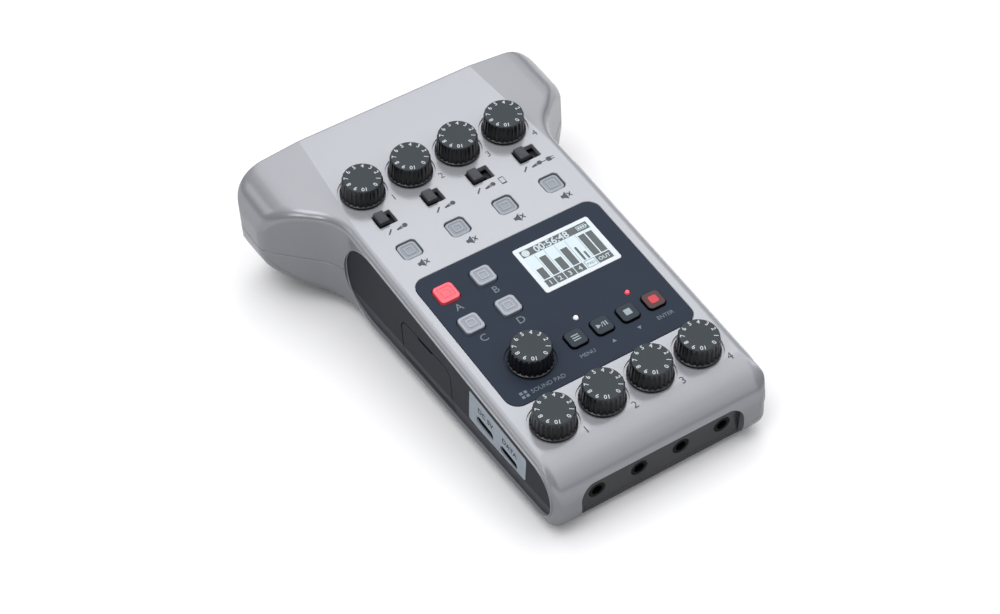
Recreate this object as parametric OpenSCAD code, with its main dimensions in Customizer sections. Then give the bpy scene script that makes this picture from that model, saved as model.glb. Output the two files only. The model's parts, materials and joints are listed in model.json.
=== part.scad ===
// Portable podcast mixer: a wedge-shaped case with a flared head, four gain and four
// headphone knobs, a dark control panel and microphone sockets in the rear wall.
// Millimetres. +Z is up and +Y points to the rear. The origin is on the table, under
// the middle of the case. Controls are set out on the sloping face: "back" is the
// distance from its rear edge, and depths run square to the face.

/* [Case] */
// Overall width, across the head
case_w = 114; // [111:0.5:117]
// Overall length, front to rear
case_l = 155; // [154:0.5:160]
// Height of the rear top edge above the table
head_h = 43.2; // [42.6:0.2:47.4]
// Slope of the control face, lower at the front (degrees)
face_tilt = 6.7; // [6:0.1:7]
// Width of the body in front of the head
body_w = 76.4; // [76:0.2:80]
// Wall of the shells
wall = 2; // [1.8:0.1:2.4]
// Depth of the joint line between the shells, below the face
seam_drop = 20; // [19:0.25:21]
// Shadow gap at the joint line
seam_gap = 0.2; // [0.1:0.05:0.3]
// Height of the rubber feet below the base
foot_h = 1.5; // [1:0.1:2]

/* [Head] */
// Distance from the rear wall to the front corner of each wing
wing_back = 17; // [14.8:0.2:20.8]
// Distance from the rear wall to the point of each neck
neck_back = 35; // [32.6:0.2:38.6]
// Half width of the flat top at the rear edge
crease_x = 32; // [29.5:0.5:33.5]
// Fall of each wing's top, outwards (degrees)
wing_fall = 5.4; // [4:0.2:8]
// Rise of each wing's underside, outwards (degrees)
wing_rise = 21.8; // [14:0.2:23]

/* [Edge radii] */
// Roll-over from the face to the front wall
front_roll = 12; // [10:0.5:13]
// Edge along the sides of the body
side_edge = 2.6; // [1.8:0.1:3]
// Edge round the neck and the front of each wing
neck_edge = 3; // [2:0.25:4]
// Edge at each wing's end
tip_edge = 12; // [10:0.25:12.5]
// Edge along the rear of the face
rear_edge = 1.25; // [1:0.25:2]
// Tuck-under at the foot of the front wall
front_tuck = 8; // [7:0.25:8.5]
// Edge of the base along the sides
base_edge = 3.2; // [2:0.1:3.4]
// Edge under the front of the wings
wing_under = 5; // [3:0.25:6]
// Edge under each wing's end
tip_under = 10; // [8:0.25:10.5]
// Edge of the base along the rear
rear_under = 3; // [2:0.25:4]
// Plan radius of the front corners
front_corner = 3.5; // [3:0.25:4]
// Plan radius of the hollow neck
neck_hollow = 17.5; // [12:0.5:21.5]
// Plan radius of the wings' front corners
wing_corner = 7; // [5:0.25:8.75]
// Plan radius of the rear corners
rear_corner = 5; // [3:0.25:6]

/* [Side panels] */
// Thickness of the black side panels
panel_t = 1.6; // [1.4:0.1:1.8]
// Silver rim above each panel
panel_rim = 2.2; // [1.8:0.1:3]
// Height of each panel's lower edge above the table
panel_z = 5.1; // [4.7:0.1:5.9]
// Silver rim in front of each panel
panel_nose = 2.5; // [2.4:0.1:3]
// Distance from the rear wall to the panels' rear end
panel_back = 37.7; // [36.6:0.1:39.5]
// Gap between a panel and the shells
panel_fit = 0.1; // [0.05:0.05:0.2]

/* [Card door] */
// Distance from the rear wall to the door's rear end
door_back = 71; // [69:0.5:73]
// Length of the door
door_l = 28; // [27:0.5:29.5]
// Height of the hinge line above the table
door_z = 8; // [7.6:0.2:8.8]
// Height of the door's top edge above the table
door_top = 24.2; // [23.6:0.2:25.2]
// Gap round the door
door_gap = 0.3; // [0.2:0.05:0.4]
// Radius of the hinge pins
door_pin_r = 0.45; // [0.4:0.05:0.5]
// Length of each hinge pin
door_pin_l = 1.2; // [1:0.1:1.6]

/* [Ports] */
// Depth of the port row below the face
port_drop = 12.8; // [12.6:0.05:13]
// Distance back to the middle of the two port openings
usb_back = 126.5; // [125.8:0.1:127.3]
// Spacing of the two port openings
usb_pitch = 12.9; // [12.4:0.1:13.4]
// Inner width of a port shell
usb_w = 8.34; // [8.3:0.02:8.4]
// Inner height of a port shell
usb_h = 2.56; // [2.5:0.02:2.6]
// Sheet thickness of a port shell
usb_sheet = 0.3; // [0.25:0.05:0.4]
// Thickness of the pale plate round the ports
usb_plate_t = 0.5; // [0.4:0.1:0.6]
// Width of a memory card
card_w = 24; // [23.9:0.05:24.1]
// Length of a memory card
card_l = 32; // [31.9:0.05:32.1]
// Thickness of a memory card
card_t = 2.1; // [2:0.05:2.2]
// Distance back to the side jack for a phone
side_jack_back = 86; // [82:0.5:90]
// Distance back to the power slider
power_back = 111.5; // [107.5:0.5:115.5]
// Travel of the power slider
power_travel = 4; // [3:0.25:5]

/* [Front jacks] */
// Radius of a jack's bore
jack_r = 1.8; // [1.75:0.01:1.85]
// Length of a jack's bore
jack_l = 14; // [13:0.25:15]
// Spacing of the jacks
jack_pitch = 14.9; // [13.8:0.1:15.8]
// Depth of the jacks' axis below the face
jack_drop = 13.8; // [13.6:0.05:14.2]
// Radius of a jack's nose
jack_nose_r = 2.9; // [2.7:0.05:3.1]
// Depth of the recess round the jacks
recess_d = 2.1; // [1.6:0.1:2.4]
// Width of that recess
recess_w = 58; // [55:0.5:61]
// Depth of the recess's upper edge below the face
recess_top = 8.1; // [7.4:0.1:8.9]

/* [Microphone sockets] */
// Spacing of the sockets
xlr_pitch = 25.5; // [25.2:0.1:25.8]
// Height of the sockets' axis above the table
xlr_z = 22.9; // [22.7:0.1:23.7]
// Outer radius of a socket's sleeve
xlr_r = 11.2; // [11:0.05:11.4]
// Radius of the opening for the plug
xlr_bore = 9.6; // [9.5:0.05:9.8]
// Radius of the contact block
xlr_core = 7.9; // [7.8:0.05:8]
// Depth of a socket
xlr_d = 19; // [18:0.25:20]
// Radius of the contacts' pitch circle
xlr_pins = 3.65; // [3.5:0.05:3.8]
// Radius of a contact's bore
xlr_pin_r = 1.25; // [1.2:0.01:1.3]

/* [Knobs] */
// Spacing of the gain knobs
gain_pitch = 17.4; // [17.05:0.05:17.65]
// Distance back to the gain knobs
gain_back = 30.4; // [29.7:0.1:31.7]
// Spacing of the headphone knobs
phones_pitch = 17.1; // [16.75:0.05:17.35]
// Distance from the front of the panel to the headphone knobs
phones_front = 9.8; // [9.5:0.1:10.4]
// Distance from the headphone knobs to the front wall
phones_nose = 19.07; // [18.67:0.01:19.57]
// Radius of a knob at the top
knob_r = 6.4; // [6.1:0.05:6.6]
// Radius of a knob at the foot
knob_foot_r = 7.2; // [6.9:0.05:7.3]
// Height of a knob's top above the face
knob_top = 6.8; // [6.5:0.1:7.9]
// Gap under a knob
knob_gap = 0.5; // [0.3:0.05:0.7]
// Number of flutes round a knob
knob_flutes = 36; // [24:1:40]
// Depth of the flutes
flute_d = 0.35; // [0.2:0.05:0.5]
// Radius of the control shafts
shaft_r = 3; // [2.8:0.05:3.1]
// Depth of the flat on a shaft
shaft_flat = 1.5; // [1:0.1:1.8]

/* [Input switches] */
// Distance back to the row of switches
switch_back = 43.5; // [42.5:0.1:44.5]
// Width of a switch lever
lever_w = 3.5; // [3:0.1:3.9]
// Length of a switch lever
lever_l = 4.9; // [4.4:0.1:5.3]
// Height of a lever above the face
lever_top = 1.8; // [1.2:0.1:2.4]
// Travel of the two-way switches
lever_travel_2 = 2.3; // [2:0.1:2.6]
// Travel of the three-way switches
lever_travel_3 = 3.7; // [3.4:0.1:4.1]

/* [Buttons] */
// Distance back to the mute buttons
mute_back = 58.2; // [57.3:0.1:58.7]
// Side of a mute button
mute_s = 6.5; // [5.9:0.1:6.9]
// Depth of a mute button's top below the face
mute_sink = 0.4; // [0.3:0.1:0.8]
// Side of a sound pad
pad_s = 6.8; // [6.3:0.1:7.1]
// Side of a recorder button
transport_s = 6.1; // [5.7:0.1:6.5]
// Height of the buttons above the face
button_top = 0.9; // [0.6:0.1:1.4]
// Corner radius of the buttons
button_r = 1.4; // [1:0.1:1.8]
// Travel of the buttons
button_travel = 0.5; // [0.4:0.05:0.6]
// Gap round the buttons
button_gap = 0.3; // [0.2:0.05:0.35]

/* [Control panel] */
// Width of the panel
cp_w = 66.4; // [66:0.1:68]
// Length of the panel
cp_l = 57.1; // [56.6:0.1:57.6]
// Thickness of the panel
cp_t = 0.8; // [0.6:0.05:1]
// Corner radius of the panel
cp_r = 4.5; // [3:0.25:6]
// Gap round the panel
cp_fit = 0.1; // [0.05:0.05:0.2]
// First column of sound pads
pad_x = -26.1; // [-26.6:0.1:-25.6]
// Spacing of the pad columns
pad_pitch_x = 13.2; // [12.8:0.1:13.8]
// Spacing of the pad rows
pad_pitch_y = 14; // [13.8:0.1:14.8]
// Distance from the panel's rear edge to the first row of pads
pad_row = 9.2; // [8.9:0.1:9.5]
// Width of the display window
lcd_w = 27.6; // [26.6:0.1:28.1]
// Length of the display window
lcd_l = 19.7; // [18.7:0.1:20.2]
// Middle of the display window
lcd_x = 13.6; // [12.8:0.1:14.3]
// Distance from the panel's rear edge to the display's middle
lcd_row = 15.2; // [14.8:0.1:15.8]
// First recorder button
transport_x = -2.8; // [-3.2:0.1:-2.6]
// Spacing of the recorder buttons
transport_pitch = 9.35; // [9.05:0.05:9.45]
// Distance from the panel's rear edge to the recorder buttons
transport_row = 44.5; // [44:0.1:45]
// Pad volume knob, across
pad_knob_x = -18.5; // [-19.1:0.1:-18.1]
// Distance from the panel's rear edge to the pad volume knob
pad_knob_row = 43.9; // [43.4:0.1:44.4]
// Distance from the panel's rear edge to the status lights
led_row = 37.5; // [37:0.1:38]
// Radius of a status light
led_r = 0.9; // [0.7:0.05:1.1]

/* [Inside] */
// Depth of the circuit board's top below the face
board_drop = 9.6; // [9.5:0.05:9.7]
// Thickness of the circuit board
board_t = 1.6; // [1.5:0.05:1.6]
// Radius of the battery cells
cell_r = 7.1; // [6.9:0.05:7.2]
// Length of a battery cell with its nub
cell_l = 50.2; // [49.5:0.1:50.5]
// Distance from the rear wall to the middle of the battery bay
bay_back = 57.25; // [56.25:0.25:58.25]
// Thickness of the battery door
bay_door_t = 1.3; // [1.2:0.05:1.4]
// Travel of the battery door before it lifts off
bay_travel = 4; // [3:0.25:5]
// Radius of a case screw's shank
screw_r = 1; // [0.9:0.05:1.1]
// Radius of a case screw's head
screw_head_r = 2; // [1.9:0.05:2.1]
// Radius of a rubber foot
foot_r = 5; // [4:0.25:5.5]

/* [Hidden] */
$fn = 48;
half_l = case_l / 2;
half_w = case_w / 2;
half_b = body_w / 2;
face_l = case_l / cos(face_tilt);
channels = [-1.5, -0.5, 0.5, 1.5];
slack = 0.05;
clear = 0.3;
over = 1;

// Distances along the face are given for a case 155 mm long, and keep their share of it
stretch = case_l / 155;
gain_at = gain_back * stretch;
switch_at = switch_back * stretch;
mute_at = mute_back * stretch;
phones_at = face_l - phones_nose * stretch;
cp_front = phones_at - phones_front * stretch;
cp_rear = cp_front - cp_l * stretch;
usb_at = usb_back * stretch;
side_jack_at = side_jack_back * stretch;
power_at = power_back * stretch;
door_at = door_back * stretch;

// Case outline: front, side, neck, wing end and rear, as edge radii and corner radii
headings = [0, 90, atan2(neck_back - wing_back, half_w - half_b), 90, 180];
neck_point = [half_b, half_l - neck_back];
neck_in = [-sin(headings[2]), cos(headings[2])];
top_edges = [front_roll, side_edge, neck_edge, tip_edge, rear_edge];
base_edges = [front_tuck, base_edge, wing_under, tip_under, rear_under];
plan_corners = [front_corner, neck_hollow, wing_corner, rear_corner];
corner_steps = [8, 10, 8, 8];
line_steps = 6;
edge_step = 10;
tuck_steps = 3;
base_rings = [0.12, 0.3, 0.5, 0.7, 0.86, 1];
side_wall = panel_t + 0.8 * wall;
front_wall = recess_d + wall;
inner_edge = 0.75;
no_drop = [0, 0, 0, 0, 0];

// Side panels, seen from the side
panel_steps = 9;
panel_out = half_b;
panel_in = half_b - panel_t;
nose_y = -half_l + panel_nose;
tail_y = half_l - panel_back;
panel_front_h = head_h - (half_l - nose_y) * tan(face_tilt) - panel_rim - panel_z;
panel_rear_h = head_h - (half_l - tail_y) * tan(face_tilt) - panel_rim - panel_z;
panel_radii = [0.47 * panel_front_h, 0.42 * panel_rear_h, 0.48 * panel_rear_h, 0.52 * panel_front_h];

// Card door and ports
door_rear = half_l - door_at;
door_front = door_rear - door_l;
door_t = panel_t - 0.25;
door_axis_x = half_b - door_t / 2;
door_mid = (door_at + door_l / 2) / cos(face_tilt) + port_drop * tan(face_tilt);
door_corner = 3.5;
usb_out_w = usb_w + 2 * usb_sheet;
usb_out_h = usb_h + 2 * usb_sheet;
usb_depth = 7.4;
usb_setback = usb_plate_t + slack;
usb_plate_rise = 8.6;
usb_plate_fall = 4.2;
usb_plate_l = usb_pitch + usb_out_w + 8.6;
usb_plate_z = 12.7;
card_slot_h = card_t + 1.4;
socket_wall = 0.4;
socket_h = card_t + 2 * socket_wall + 0.3;
socket_w = card_w + 4;
socket_l = card_l - 3;
power_w = 3.6;
power_l = 6;
power_proud = 0.8;

// Front jacks
recess_v = -(face_l + jack_drop * tan(face_tilt)) + recess_d;
recess_r = 5;
recess_h = 30;
jack_body_w = 6.4;
jack_body_h = 2 * (jack_drop - board_drop - board_t) - slack;
jack_body_l = jack_l - 1.5;
jack_nose_l = front_wall - recess_d + 0.9;

// Controls
gain_x = [for (c = channels) c * gain_pitch];
phones_x = [for (c = channels) c * phones_pitch];
function panel_place(x, row) = [x, -(cp_rear + row * stretch)];
cp_place = panel_place(0, cp_l / 2);
cp_long = cp_l * stretch;
lcd_long = lcd_l * stretch;
pad_places = [for (j = [0, 1]) for (i = [0, 1])
    panel_place(pad_x + i * pad_pitch_x, pad_row + j * pad_pitch_y)];
transport_places = [for (i = [0:3]) panel_place(transport_x + i * transport_pitch, transport_row)];
mute_places = [for (x = gain_x) [x, -mute_at]];
gain_places = [for (x = gain_x) [x, -gain_at]];
phones_places = [for (x = phones_x) [x, -phones_at]];
pad_knob_place = panel_place(pad_knob_x, pad_knob_row);
knob_places = concat(gain_places, phones_places, [pad_knob_place]);
led_places = [for (i = [0.5, 2.5]) panel_place(transport_x + i * transport_pitch, led_row)];
lever_travel = [lever_travel_2, lever_travel_2, lever_travel_3, lever_travel_3];
switch_places = [for (x = gain_x) [x, -switch_at]];
lcd_place = panel_place(lcd_x, lcd_row);
lcd_ledge = 0.8;
knob_cap = 0.6;
knob_bore_roof = 1.4;
shaft_foot = 7.6;
shaft_fit = 0.05;
flange = 0.8;
stem_r = 1.6;
plunger_r = 1.6;
tact_s = 6;
tact_h = 3.4;
plunger_h = 0.5;
plunger_top = board_drop - tact_h - plunger_h;
stem_end = plunger_top - button_travel - 0.1;
lever_foot = 3.4;
lever_post = 1.9;
lever_post_end = 6.4;
switch_body = 6;
switch_body_top = lever_foot + 0.5;
pot_w = 9.8;
pot_l = 11.4;
pot_top = wall + 0.8;

// Circuit board and the pillars that carry it
boss_r = 2.4;
post_r = 1.8;
board_w = body_w - 2 * side_wall - 4 * clear;
board_gap = 3;
xlr_floor = 2;
board_rear = xlr_d + xlr_floor + board_gap;
boss_side = half_b - side_wall - boss_r - clear;
boss_front = usb_at;
boss_rear = (mute_at - pad_places[0][1]) / 2;
bosses = [for (s = [-1, 1]) for (b = [boss_front, boss_rear]) [s * boss_side, -b]];
board_front = face_l - front_wall - board_gap;
screw_seat = 3;
screw_bite = 5;
screw_head_h = 1.4;

// Battery bay
floor_t = wall + 0.2;
bay_y = half_l - bay_back;
cell_pitch = 2 * cell_r + 0.8;
bay_l = 2 * cell_pitch + 0.6;
bay_w = cell_l + 2.8;
bay_ledge = 1.4;
bay_floor = foot_h + bay_door_t + 0.25;
cell_z = bay_floor + clear + cell_r;
bay_roof = cell_z + cell_r + 0.4;
tray_t = 1.2;
tongue = 0.9;
tongue_t = 0.6;
door_fit = 0.15;
contact_t = 0.4;

// Rubber feet
foot_seat = 0.5;
foot_front = -half_l + front_tuck + foot_r + 4.5;
foot_rear = half_l - rear_under - foot_r - 7.5;
foot_places = [[-24, foot_front], [24, foot_front], [-29, foot_rear], [29, foot_rear]];

function lerp(a, b, t) = a + (b - a) * t;
function smooth(t) = t * t * (3 - 2 * t);

// Height of the sloping face above the table at the distance y
function face_z(y) = head_h - (half_l - y) * tan(face_tilt);

// Round corner at v, from heading a to heading b, whose third value runs from da to db
function corner(v, a, b, r, da, db, n) =
    let (side = sign(b - a), start = v - r * tan(abs(b - a) / 2) * [cos(a), sin(a)])
    let (middle = start + r * side * [-sin(a), cos(a)])
    [for (i = [0:n])
        let (h = lerp(a, b, i / n))
        concat(middle + r * side * [sin(h), -cos(h)], [lerp(da, db, smooth(i / n))])];

// Closed polygon with a round at each corner; edge k runs into corner k along ways[k]
function rounded(points, ways, radii, n) =
    [for (k = [0:len(points) - 1])
        for (p = corner(points[k], ways[k], ways[k + 1], radii[k], 0, 0, n)) [p[0], p[1]]];

// The neck line, moved in by o, at the distance x
function neck_y(x, o) = neck_point[1] + (o - (x - neck_point[0]) * neck_in[0]) / neck_in[1];

// Corners of the right half of the plan, with each wall moved in by its own offset
function plan_points(o) =
    let (bx = half_b - o[1], hx = half_w - o[3])
    [[bx, -half_l + o[0]], [bx, neck_y(bx, o[2])], [hx, neck_y(hx, o[2])], [hx, half_l - o[4]]];
function plan_radius(k, o) =
    k == 1 ? plan_corners[1] + o[2] : max(plan_corners[k] - min(o[k], o[k + 1]), 0.6);

// Where the hollow of the neck leaves the side of the body
function neck_start(o) =
    plan_points(o)[1] - [0, plan_radius(1, o) * tan((headings[1] - headings[2]) / 2)];

// Points along a straight wall, between its two ends
function along(p, q) = [for (i = [1:line_steps]) lerp(p, q, i / (line_steps + 1))];

// Ring round the plan as [x, y, drop]; the drop blends from wall to wall at the corners
function ring(o, d, crease) =
    let (v = plan_points(o))
    let (c = [for (k = [0:3])
        corner(v[k], headings[k], headings[k + 1], plan_radius(k, o), d[k], d[k + 1], corner_steps[k])])
    let (rear = [crease, half_l - o[4], d[4]])
    let (half = concat(c[0], c[1], along(c[1][corner_steps[1]], c[2][0]), c[2], c[3],
                       along(c[3][corner_steps[3]], rear), [rear]))
    concat(half, [for (i = [len(half) - 1:-1:0]) [-half[i][0], half[i][1], half[i][2]]]);
ring_n = 2 * (corner_steps[0] + corner_steps[1] + corner_steps[2] + corner_steps[3] + 2 * line_steps + 5);
neck_i = corner_steps[0] + 1;
crease_i = ring_n / 2 - 1;

// Quarter-round of each edge at the angle a: how far in, and how far from the surface
function edge_in(base, edges, a) = [for (i = [0:4]) base[i] + edges[i] * (1 - sin(a))];
function edge_drop(edges, a) = [for (i = [0:4]) i == 3 ? 0 : edges[i] * (1 - cos(a))];

// Roll of radius r that ends each wing, which keeps its shape from the neck to the rear
function tip_roll(x, r, base) =
    let (u = max(0, abs(x) - (half_w - base - r)))
    r - sqrt(max(0, r ^ 2 - u ^ 2));

// Fall of the wings' tops outside the crease, which runs from the rear edge to the neck
function wing_drop(x, y, o) =
    let (c1 = neck_start(o), c0 = [crease_x, half_l - o[4]])
    let (x0 = lerp(c1[0], c0[0], (y - c1[1]) / (c0[1] - c1[1])))
    tan(wing_fall) * max(0, abs(x) - x0);
function top_ring(base, edges, depth, a) =
    let (o0 = edge_in(base, edges, 0))
    [for (p = ring(edge_in(base, edges, a), edge_drop(edges, a), crease_x))
        [p[0], p[1], face_z(p[1]) - depth - p[2] - wing_drop(p[0], p[1], o0)
                     - tip_roll(p[0], edges[3], base[3])]];

// Straight part of the walls at a depth below the face, tucked under at the front
front_h = face_z(-half_l) - foot_h;
function tuck_in(e) = e >= front_tuck ? 0 : front_tuck - sqrt(front_tuck ^ 2 - (front_tuck - e) ^ 2);
function wall_ring(base, depth) =
    [for (p = ring(base, no_drop, crease_x)) [p[0], p[1], face_z(p[1]) - depth]];
function outer_wall(depth) = wall_ring([tuck_in(front_h - depth), 0, 0, 0, 0], depth);

// Underside: flat base with wings that rise outside the body, then quarter-round edges
function base_start(i, e) = e >= base_edges[i] ? 90 : acos(1 - e / base_edges[i]);
function base_ring(t) =
    let (e = front_h - seam_drop - seam_gap, flat = half_b - base_edge)
    let (a = [for (i = [0:4]) base_start(i, i == 0 ? e : base_edges[i]) * (1 - t)])
    let (o = [for (i = [0:4]) base_edges[i] * (1 - sin(a[i]))])
    let (d = [for (i = [0:4]) i == 3 ? 0 : base_edges[i] * (1 - cos(a[i]))])
    [for (p = ring(o, d, flat))
        [p[0], p[1], foot_h + p[2] + tan(wing_rise) * max(0, abs(p[0]) - flat)
                     + tip_roll(p[0], tip_under, 0)]];
function floor_ring(base, edges, a) =
    let (flat = half_b - base[1] - edges[1])
    [for (p = ring(edge_in(base, edges, a), edge_drop(edges, a), flat))
        [p[0], p[1], foot_h + floor_t + p[2] + tan(wing_rise) * max(0, abs(p[0]) - flat)
                     + tip_roll(p[0], edges[3], base[3])]];

// Solid between rings that run from a surface facing up to one facing down
module skin(rings) {
    function at(i, j) = i * ring_n + j % ring_n;
    function cap(i) = [
        concat([for (j = [0:neck_i]) at(i, j)], [for (j = [crease_i, crease_i + 1]) at(i, j)],
               [for (j = [ring_n - 1 - neck_i:ring_n - 1]) at(i, j)]),
        [for (j = [neck_i:crease_i]) at(i, j)],
        [for (j = [crease_i + 1:ring_n - 1 - neck_i]) at(i, j)]];
    function turned(face) = [for (k = [len(face) - 1:-1:0]) face[k]];
    last = len(rings) - 1;
    polyhedron(
        [for (r = rings) each r],
        concat(
            [for (f = cap(0)) turned(f)],
            [for (i = [0:last - 1]) for (j = [0:ring_n - 1])
                each [[at(i, j), at(i, j + 1), at(i + 1, j + 1)],
                      [at(i, j), at(i + 1, j + 1), at(i + 1, j)]]],
            cap(last)),
        convexity = 8);
}

// Frame of the control face: origin at the middle of its rear edge, +Z square to it
module on_face() {
    translate([0, half_l, head_h]) rotate([face_tilt, 0, 0]) children();
}
module at_places(places) {
    for (p = places) on_face() translate([p[0], p[1], 0]) children();
}
module rounded_rect(w, l, r) {
    square([w - 2 * r, l], center = true);
    square([w, l - 2 * r], center = true);
    for (x = [-1, 1]) for (y = [-1, 1]) translate([x * (w / 2 - r), y * (l / 2 - r)]) circle(r);
}
// Upright prism on the face from depth a up to depth b
module face_block(w, l, r, a, b) {
    translate([0, 0, a]) linear_extrude(b - a) rounded_rect(w, l, r);
}
// Prism along X between x0 and x1, from an outline drawn in Y and Z
module side_block(x0, x1) {
    translate([x0, 0, 0]) rotate([90, 0, 90]) linear_extrude(x1 - x0) children();
}

// Outline of a side panel, made smaller all round by g
function panel_outline(g) =
    rounded(
        [[nose_y + g, panel_z + g], [tail_y - g, panel_z + g],
         [tail_y - g, face_z(tail_y) - panel_rim - g], [nose_y + g, face_z(nose_y) - panel_rim - g]],
        [-90, 0, 90, 180 + face_tilt, 270], [for (r = panel_radii) r - g], panel_steps);
module panel_pocket() {
    for (s = [0, 1]) mirror([s, 0, 0])
        side_block(panel_in - slack, panel_out + 5) polygon(panel_outline(0));
}
function door_outline(g) =
    rounded(
        [[door_front + g, door_z], [door_rear - g, door_z], [door_rear - g, door_top - g],
         [door_front + g, door_top - g]],
        [-90, 0, 90, 180, 270], [0.05, 0.05, door_corner - g, door_corner - g], panel_steps);

// Rounded slot along the face, seen from the side of the case
module port_slot(x0, x1, back, drop, w, h) {
    on_face() translate([x0, -back, -drop]) rotate([90, 0, 90]) linear_extrude(x1 - x0)
        rounded_rect(w, h, h / 2 - 0.01);
}
usb_backs = [for (s = [-1, 1]) usb_at + s * usb_pitch / 2];
module usb_openings(x0, x1, g) {
    for (b = usb_backs) port_slot(x0, x1, b, port_drop, usb_out_w + 2 * g, usb_out_h + 2 * g);
}
module usb_plate_shape(x0, x1, g) {
    intersection() {
        on_face() translate([x0, -usb_at, -port_drop]) rotate([90, 0, 90]) linear_extrude(x1 - x0)
            translate([0, (usb_plate_rise - usb_plate_fall) / 2])
                rounded_rect(usb_plate_l + 2 * g, usb_plate_rise + usb_plate_fall + 2 * g, 0.8);
        translate([x0, -half_l, usb_plate_z - g]) cube([x1 - x0, case_l, head_h]);
    }
}
// Axes of the front jacks, out of the recess floor
module at_jacks() {
    for (c = channels) on_face() translate([c * jack_pitch, recess_v, -jack_drop])
        rotate([-90, 0, 0]) children();
}
module at_side_jack() {
    on_face() translate([half_b, -side_jack_at, -jack_drop]) rotate([0, -90, 0]) children();
}
module at_xlr() {
    for (c = channels) translate([c * xlr_pitch, half_l, xlr_z]) rotate([90, 0, 0]) children();
}
module xlr_holes() {
    at_xlr() translate([0, 0, -over]) cylinder(r = xlr_r + slack, h = xlr_d);
}

module top_shell() {
    outer = [for (a = [0:edge_step:90]) top_ring(no_drop, top_edges, 0, a)];
    tuck_drop = front_h - front_tuck;
    walls = [for (i = [0:tuck_steps]) outer_wall(lerp(tuck_drop, seam_drop, i / tuck_steps))];
    inner_base = [front_wall, side_wall, wall, wall, wall];
    inner_edges = [front_roll - wall, inner_edge, max(neck_edge - wall, inner_edge), tip_edge - wall,
                   inner_edge];
    inner = [for (a = [90:-30:0]) top_ring(inner_base, inner_edges, wall, a)];
    color("silver") difference() {
        skin(concat(outer, walls, [wall_ring(inner_base, seam_drop)], inner));
        at_places([cp_place])
            face_block(cp_w + 2 * cp_fit, cp_long + 2 * cp_fit, cp_r, -cp_t, over);
        at_places(knob_places) through_hole(shaft_r + clear);
        for (i = [0:3]) at_places([switch_places[i]])
            face_block(lever_w + lever_travel[i] + 2 * button_gap, lever_l + 2 * button_gap, 0.4,
                       -wall - over, over);
        at_places(mute_places) button_hole(mute_s);
        at_places(pad_places) button_hole(pad_s);
        at_places(transport_places) button_hole(transport_s);
        at_places(led_places) through_hole(led_r + slack);
        at_places([lcd_place])
            face_block(lcd_w - 2 * lcd_ledge, lcd_long - 2 * lcd_ledge, 0.5, -wall - over, over);
        panel_pocket();
        usb_openings(-half_b - over, -half_b + side_wall + over, slack);
        card_opening(-half_b - over, -half_b + side_wall + over);
        at_side_jack() translate([0, 0, -over]) cylinder(r = jack_nose_r + slack, h = side_wall + 2 * over);
        power_window(half_b - side_wall - over, half_b + over);
        front_recess();
        at_jacks() translate([0, 0, -over]) cylinder(r = jack_nose_r + slack, h = front_wall + 2 * over);
        xlr_holes();
    }
}
module through_hole(r) {
    translate([0, 0, -wall - over]) cylinder(r = r, h = wall + 2 * over);
}
module button_hole(s) {
    face_block(s + 2 * button_gap, s + 2 * button_gap, button_r + button_gap, -wall - over, over);
}
module card_opening(x0, x1) {
    port_slot(x0, x1, door_mid, port_drop, card_w + 1.2, card_slot_h);
}
module power_window(x0, x1) {
    port_slot(x0, x1, power_at, port_drop, power_l + power_travel + 2 * button_gap,
              power_w + 2 * button_gap);
}
module front_recess() {
    on_face() translate([0, recess_v, 0]) rotate([90, 0, 0]) linear_extrude(recess_d + 5)
        translate([0, -recess_top - recess_h / 2]) rounded_rect(recess_w, recess_h, recess_r);
}

module bottom_shell() {
    inner_base = [front_wall + 2.4, side_wall, wall, wall, wall];
    inner_edges = [3, 1.5, 1.5, tip_under - wall, 1];
    inner = [for (a = [0:45:90]) floor_ring(inner_base, inner_edges, a)];
    depth = seam_drop + seam_gap;
    base = [for (t = base_rings) base_ring(t)];
    color("silver") difference() {
        union() {
            skin(concat(inner, [wall_ring(inner_base, depth), outer_wall(depth)], base));
            boss_columns(depth);
            translate([-bay_w / 2 - tray_t, bay_y - bay_l / 2 - tray_t, foot_h + floor_t / 2])
                cube([bay_w + 2 * tray_t, bay_l + 2 * tray_t, bay_roof + tray_t - foot_h - floor_t / 2]);
        }
        translate([-bay_w / 2, bay_y - bay_l / 2, 0]) cube([bay_w, bay_l, bay_roof]);
        bay_recess();
        at_places(bosses) translate([0, 0, -2 * seam_drop])
            cylinder(r = screw_r + clear, h = 2 * seam_drop);
        at_places(bosses) translate([0, 0, -3 * seam_drop])
            cylinder(r = screw_head_r + clear, h = 2 * seam_drop - screw_seat);
        for (p = foot_places) translate([p[0], p[1], 0])
            cylinder(r = foot_r + slack, h = foot_h + foot_seat);
        panel_pocket();
        front_recess();
        xlr_holes();
    }
}
// Screw columns from the joint line down into the floor
module boss_columns(depth) {
    intersection() {
        at_places(bosses) translate([0, 0, -2 * seam_drop])
            cylinder(r = boss_r, h = 2 * seam_drop - depth * cos(face_tilt));
        translate([-half_w, -half_l, foot_h + floor_t / 2]) cube([case_w, case_l, head_h]);
    }
}
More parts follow.
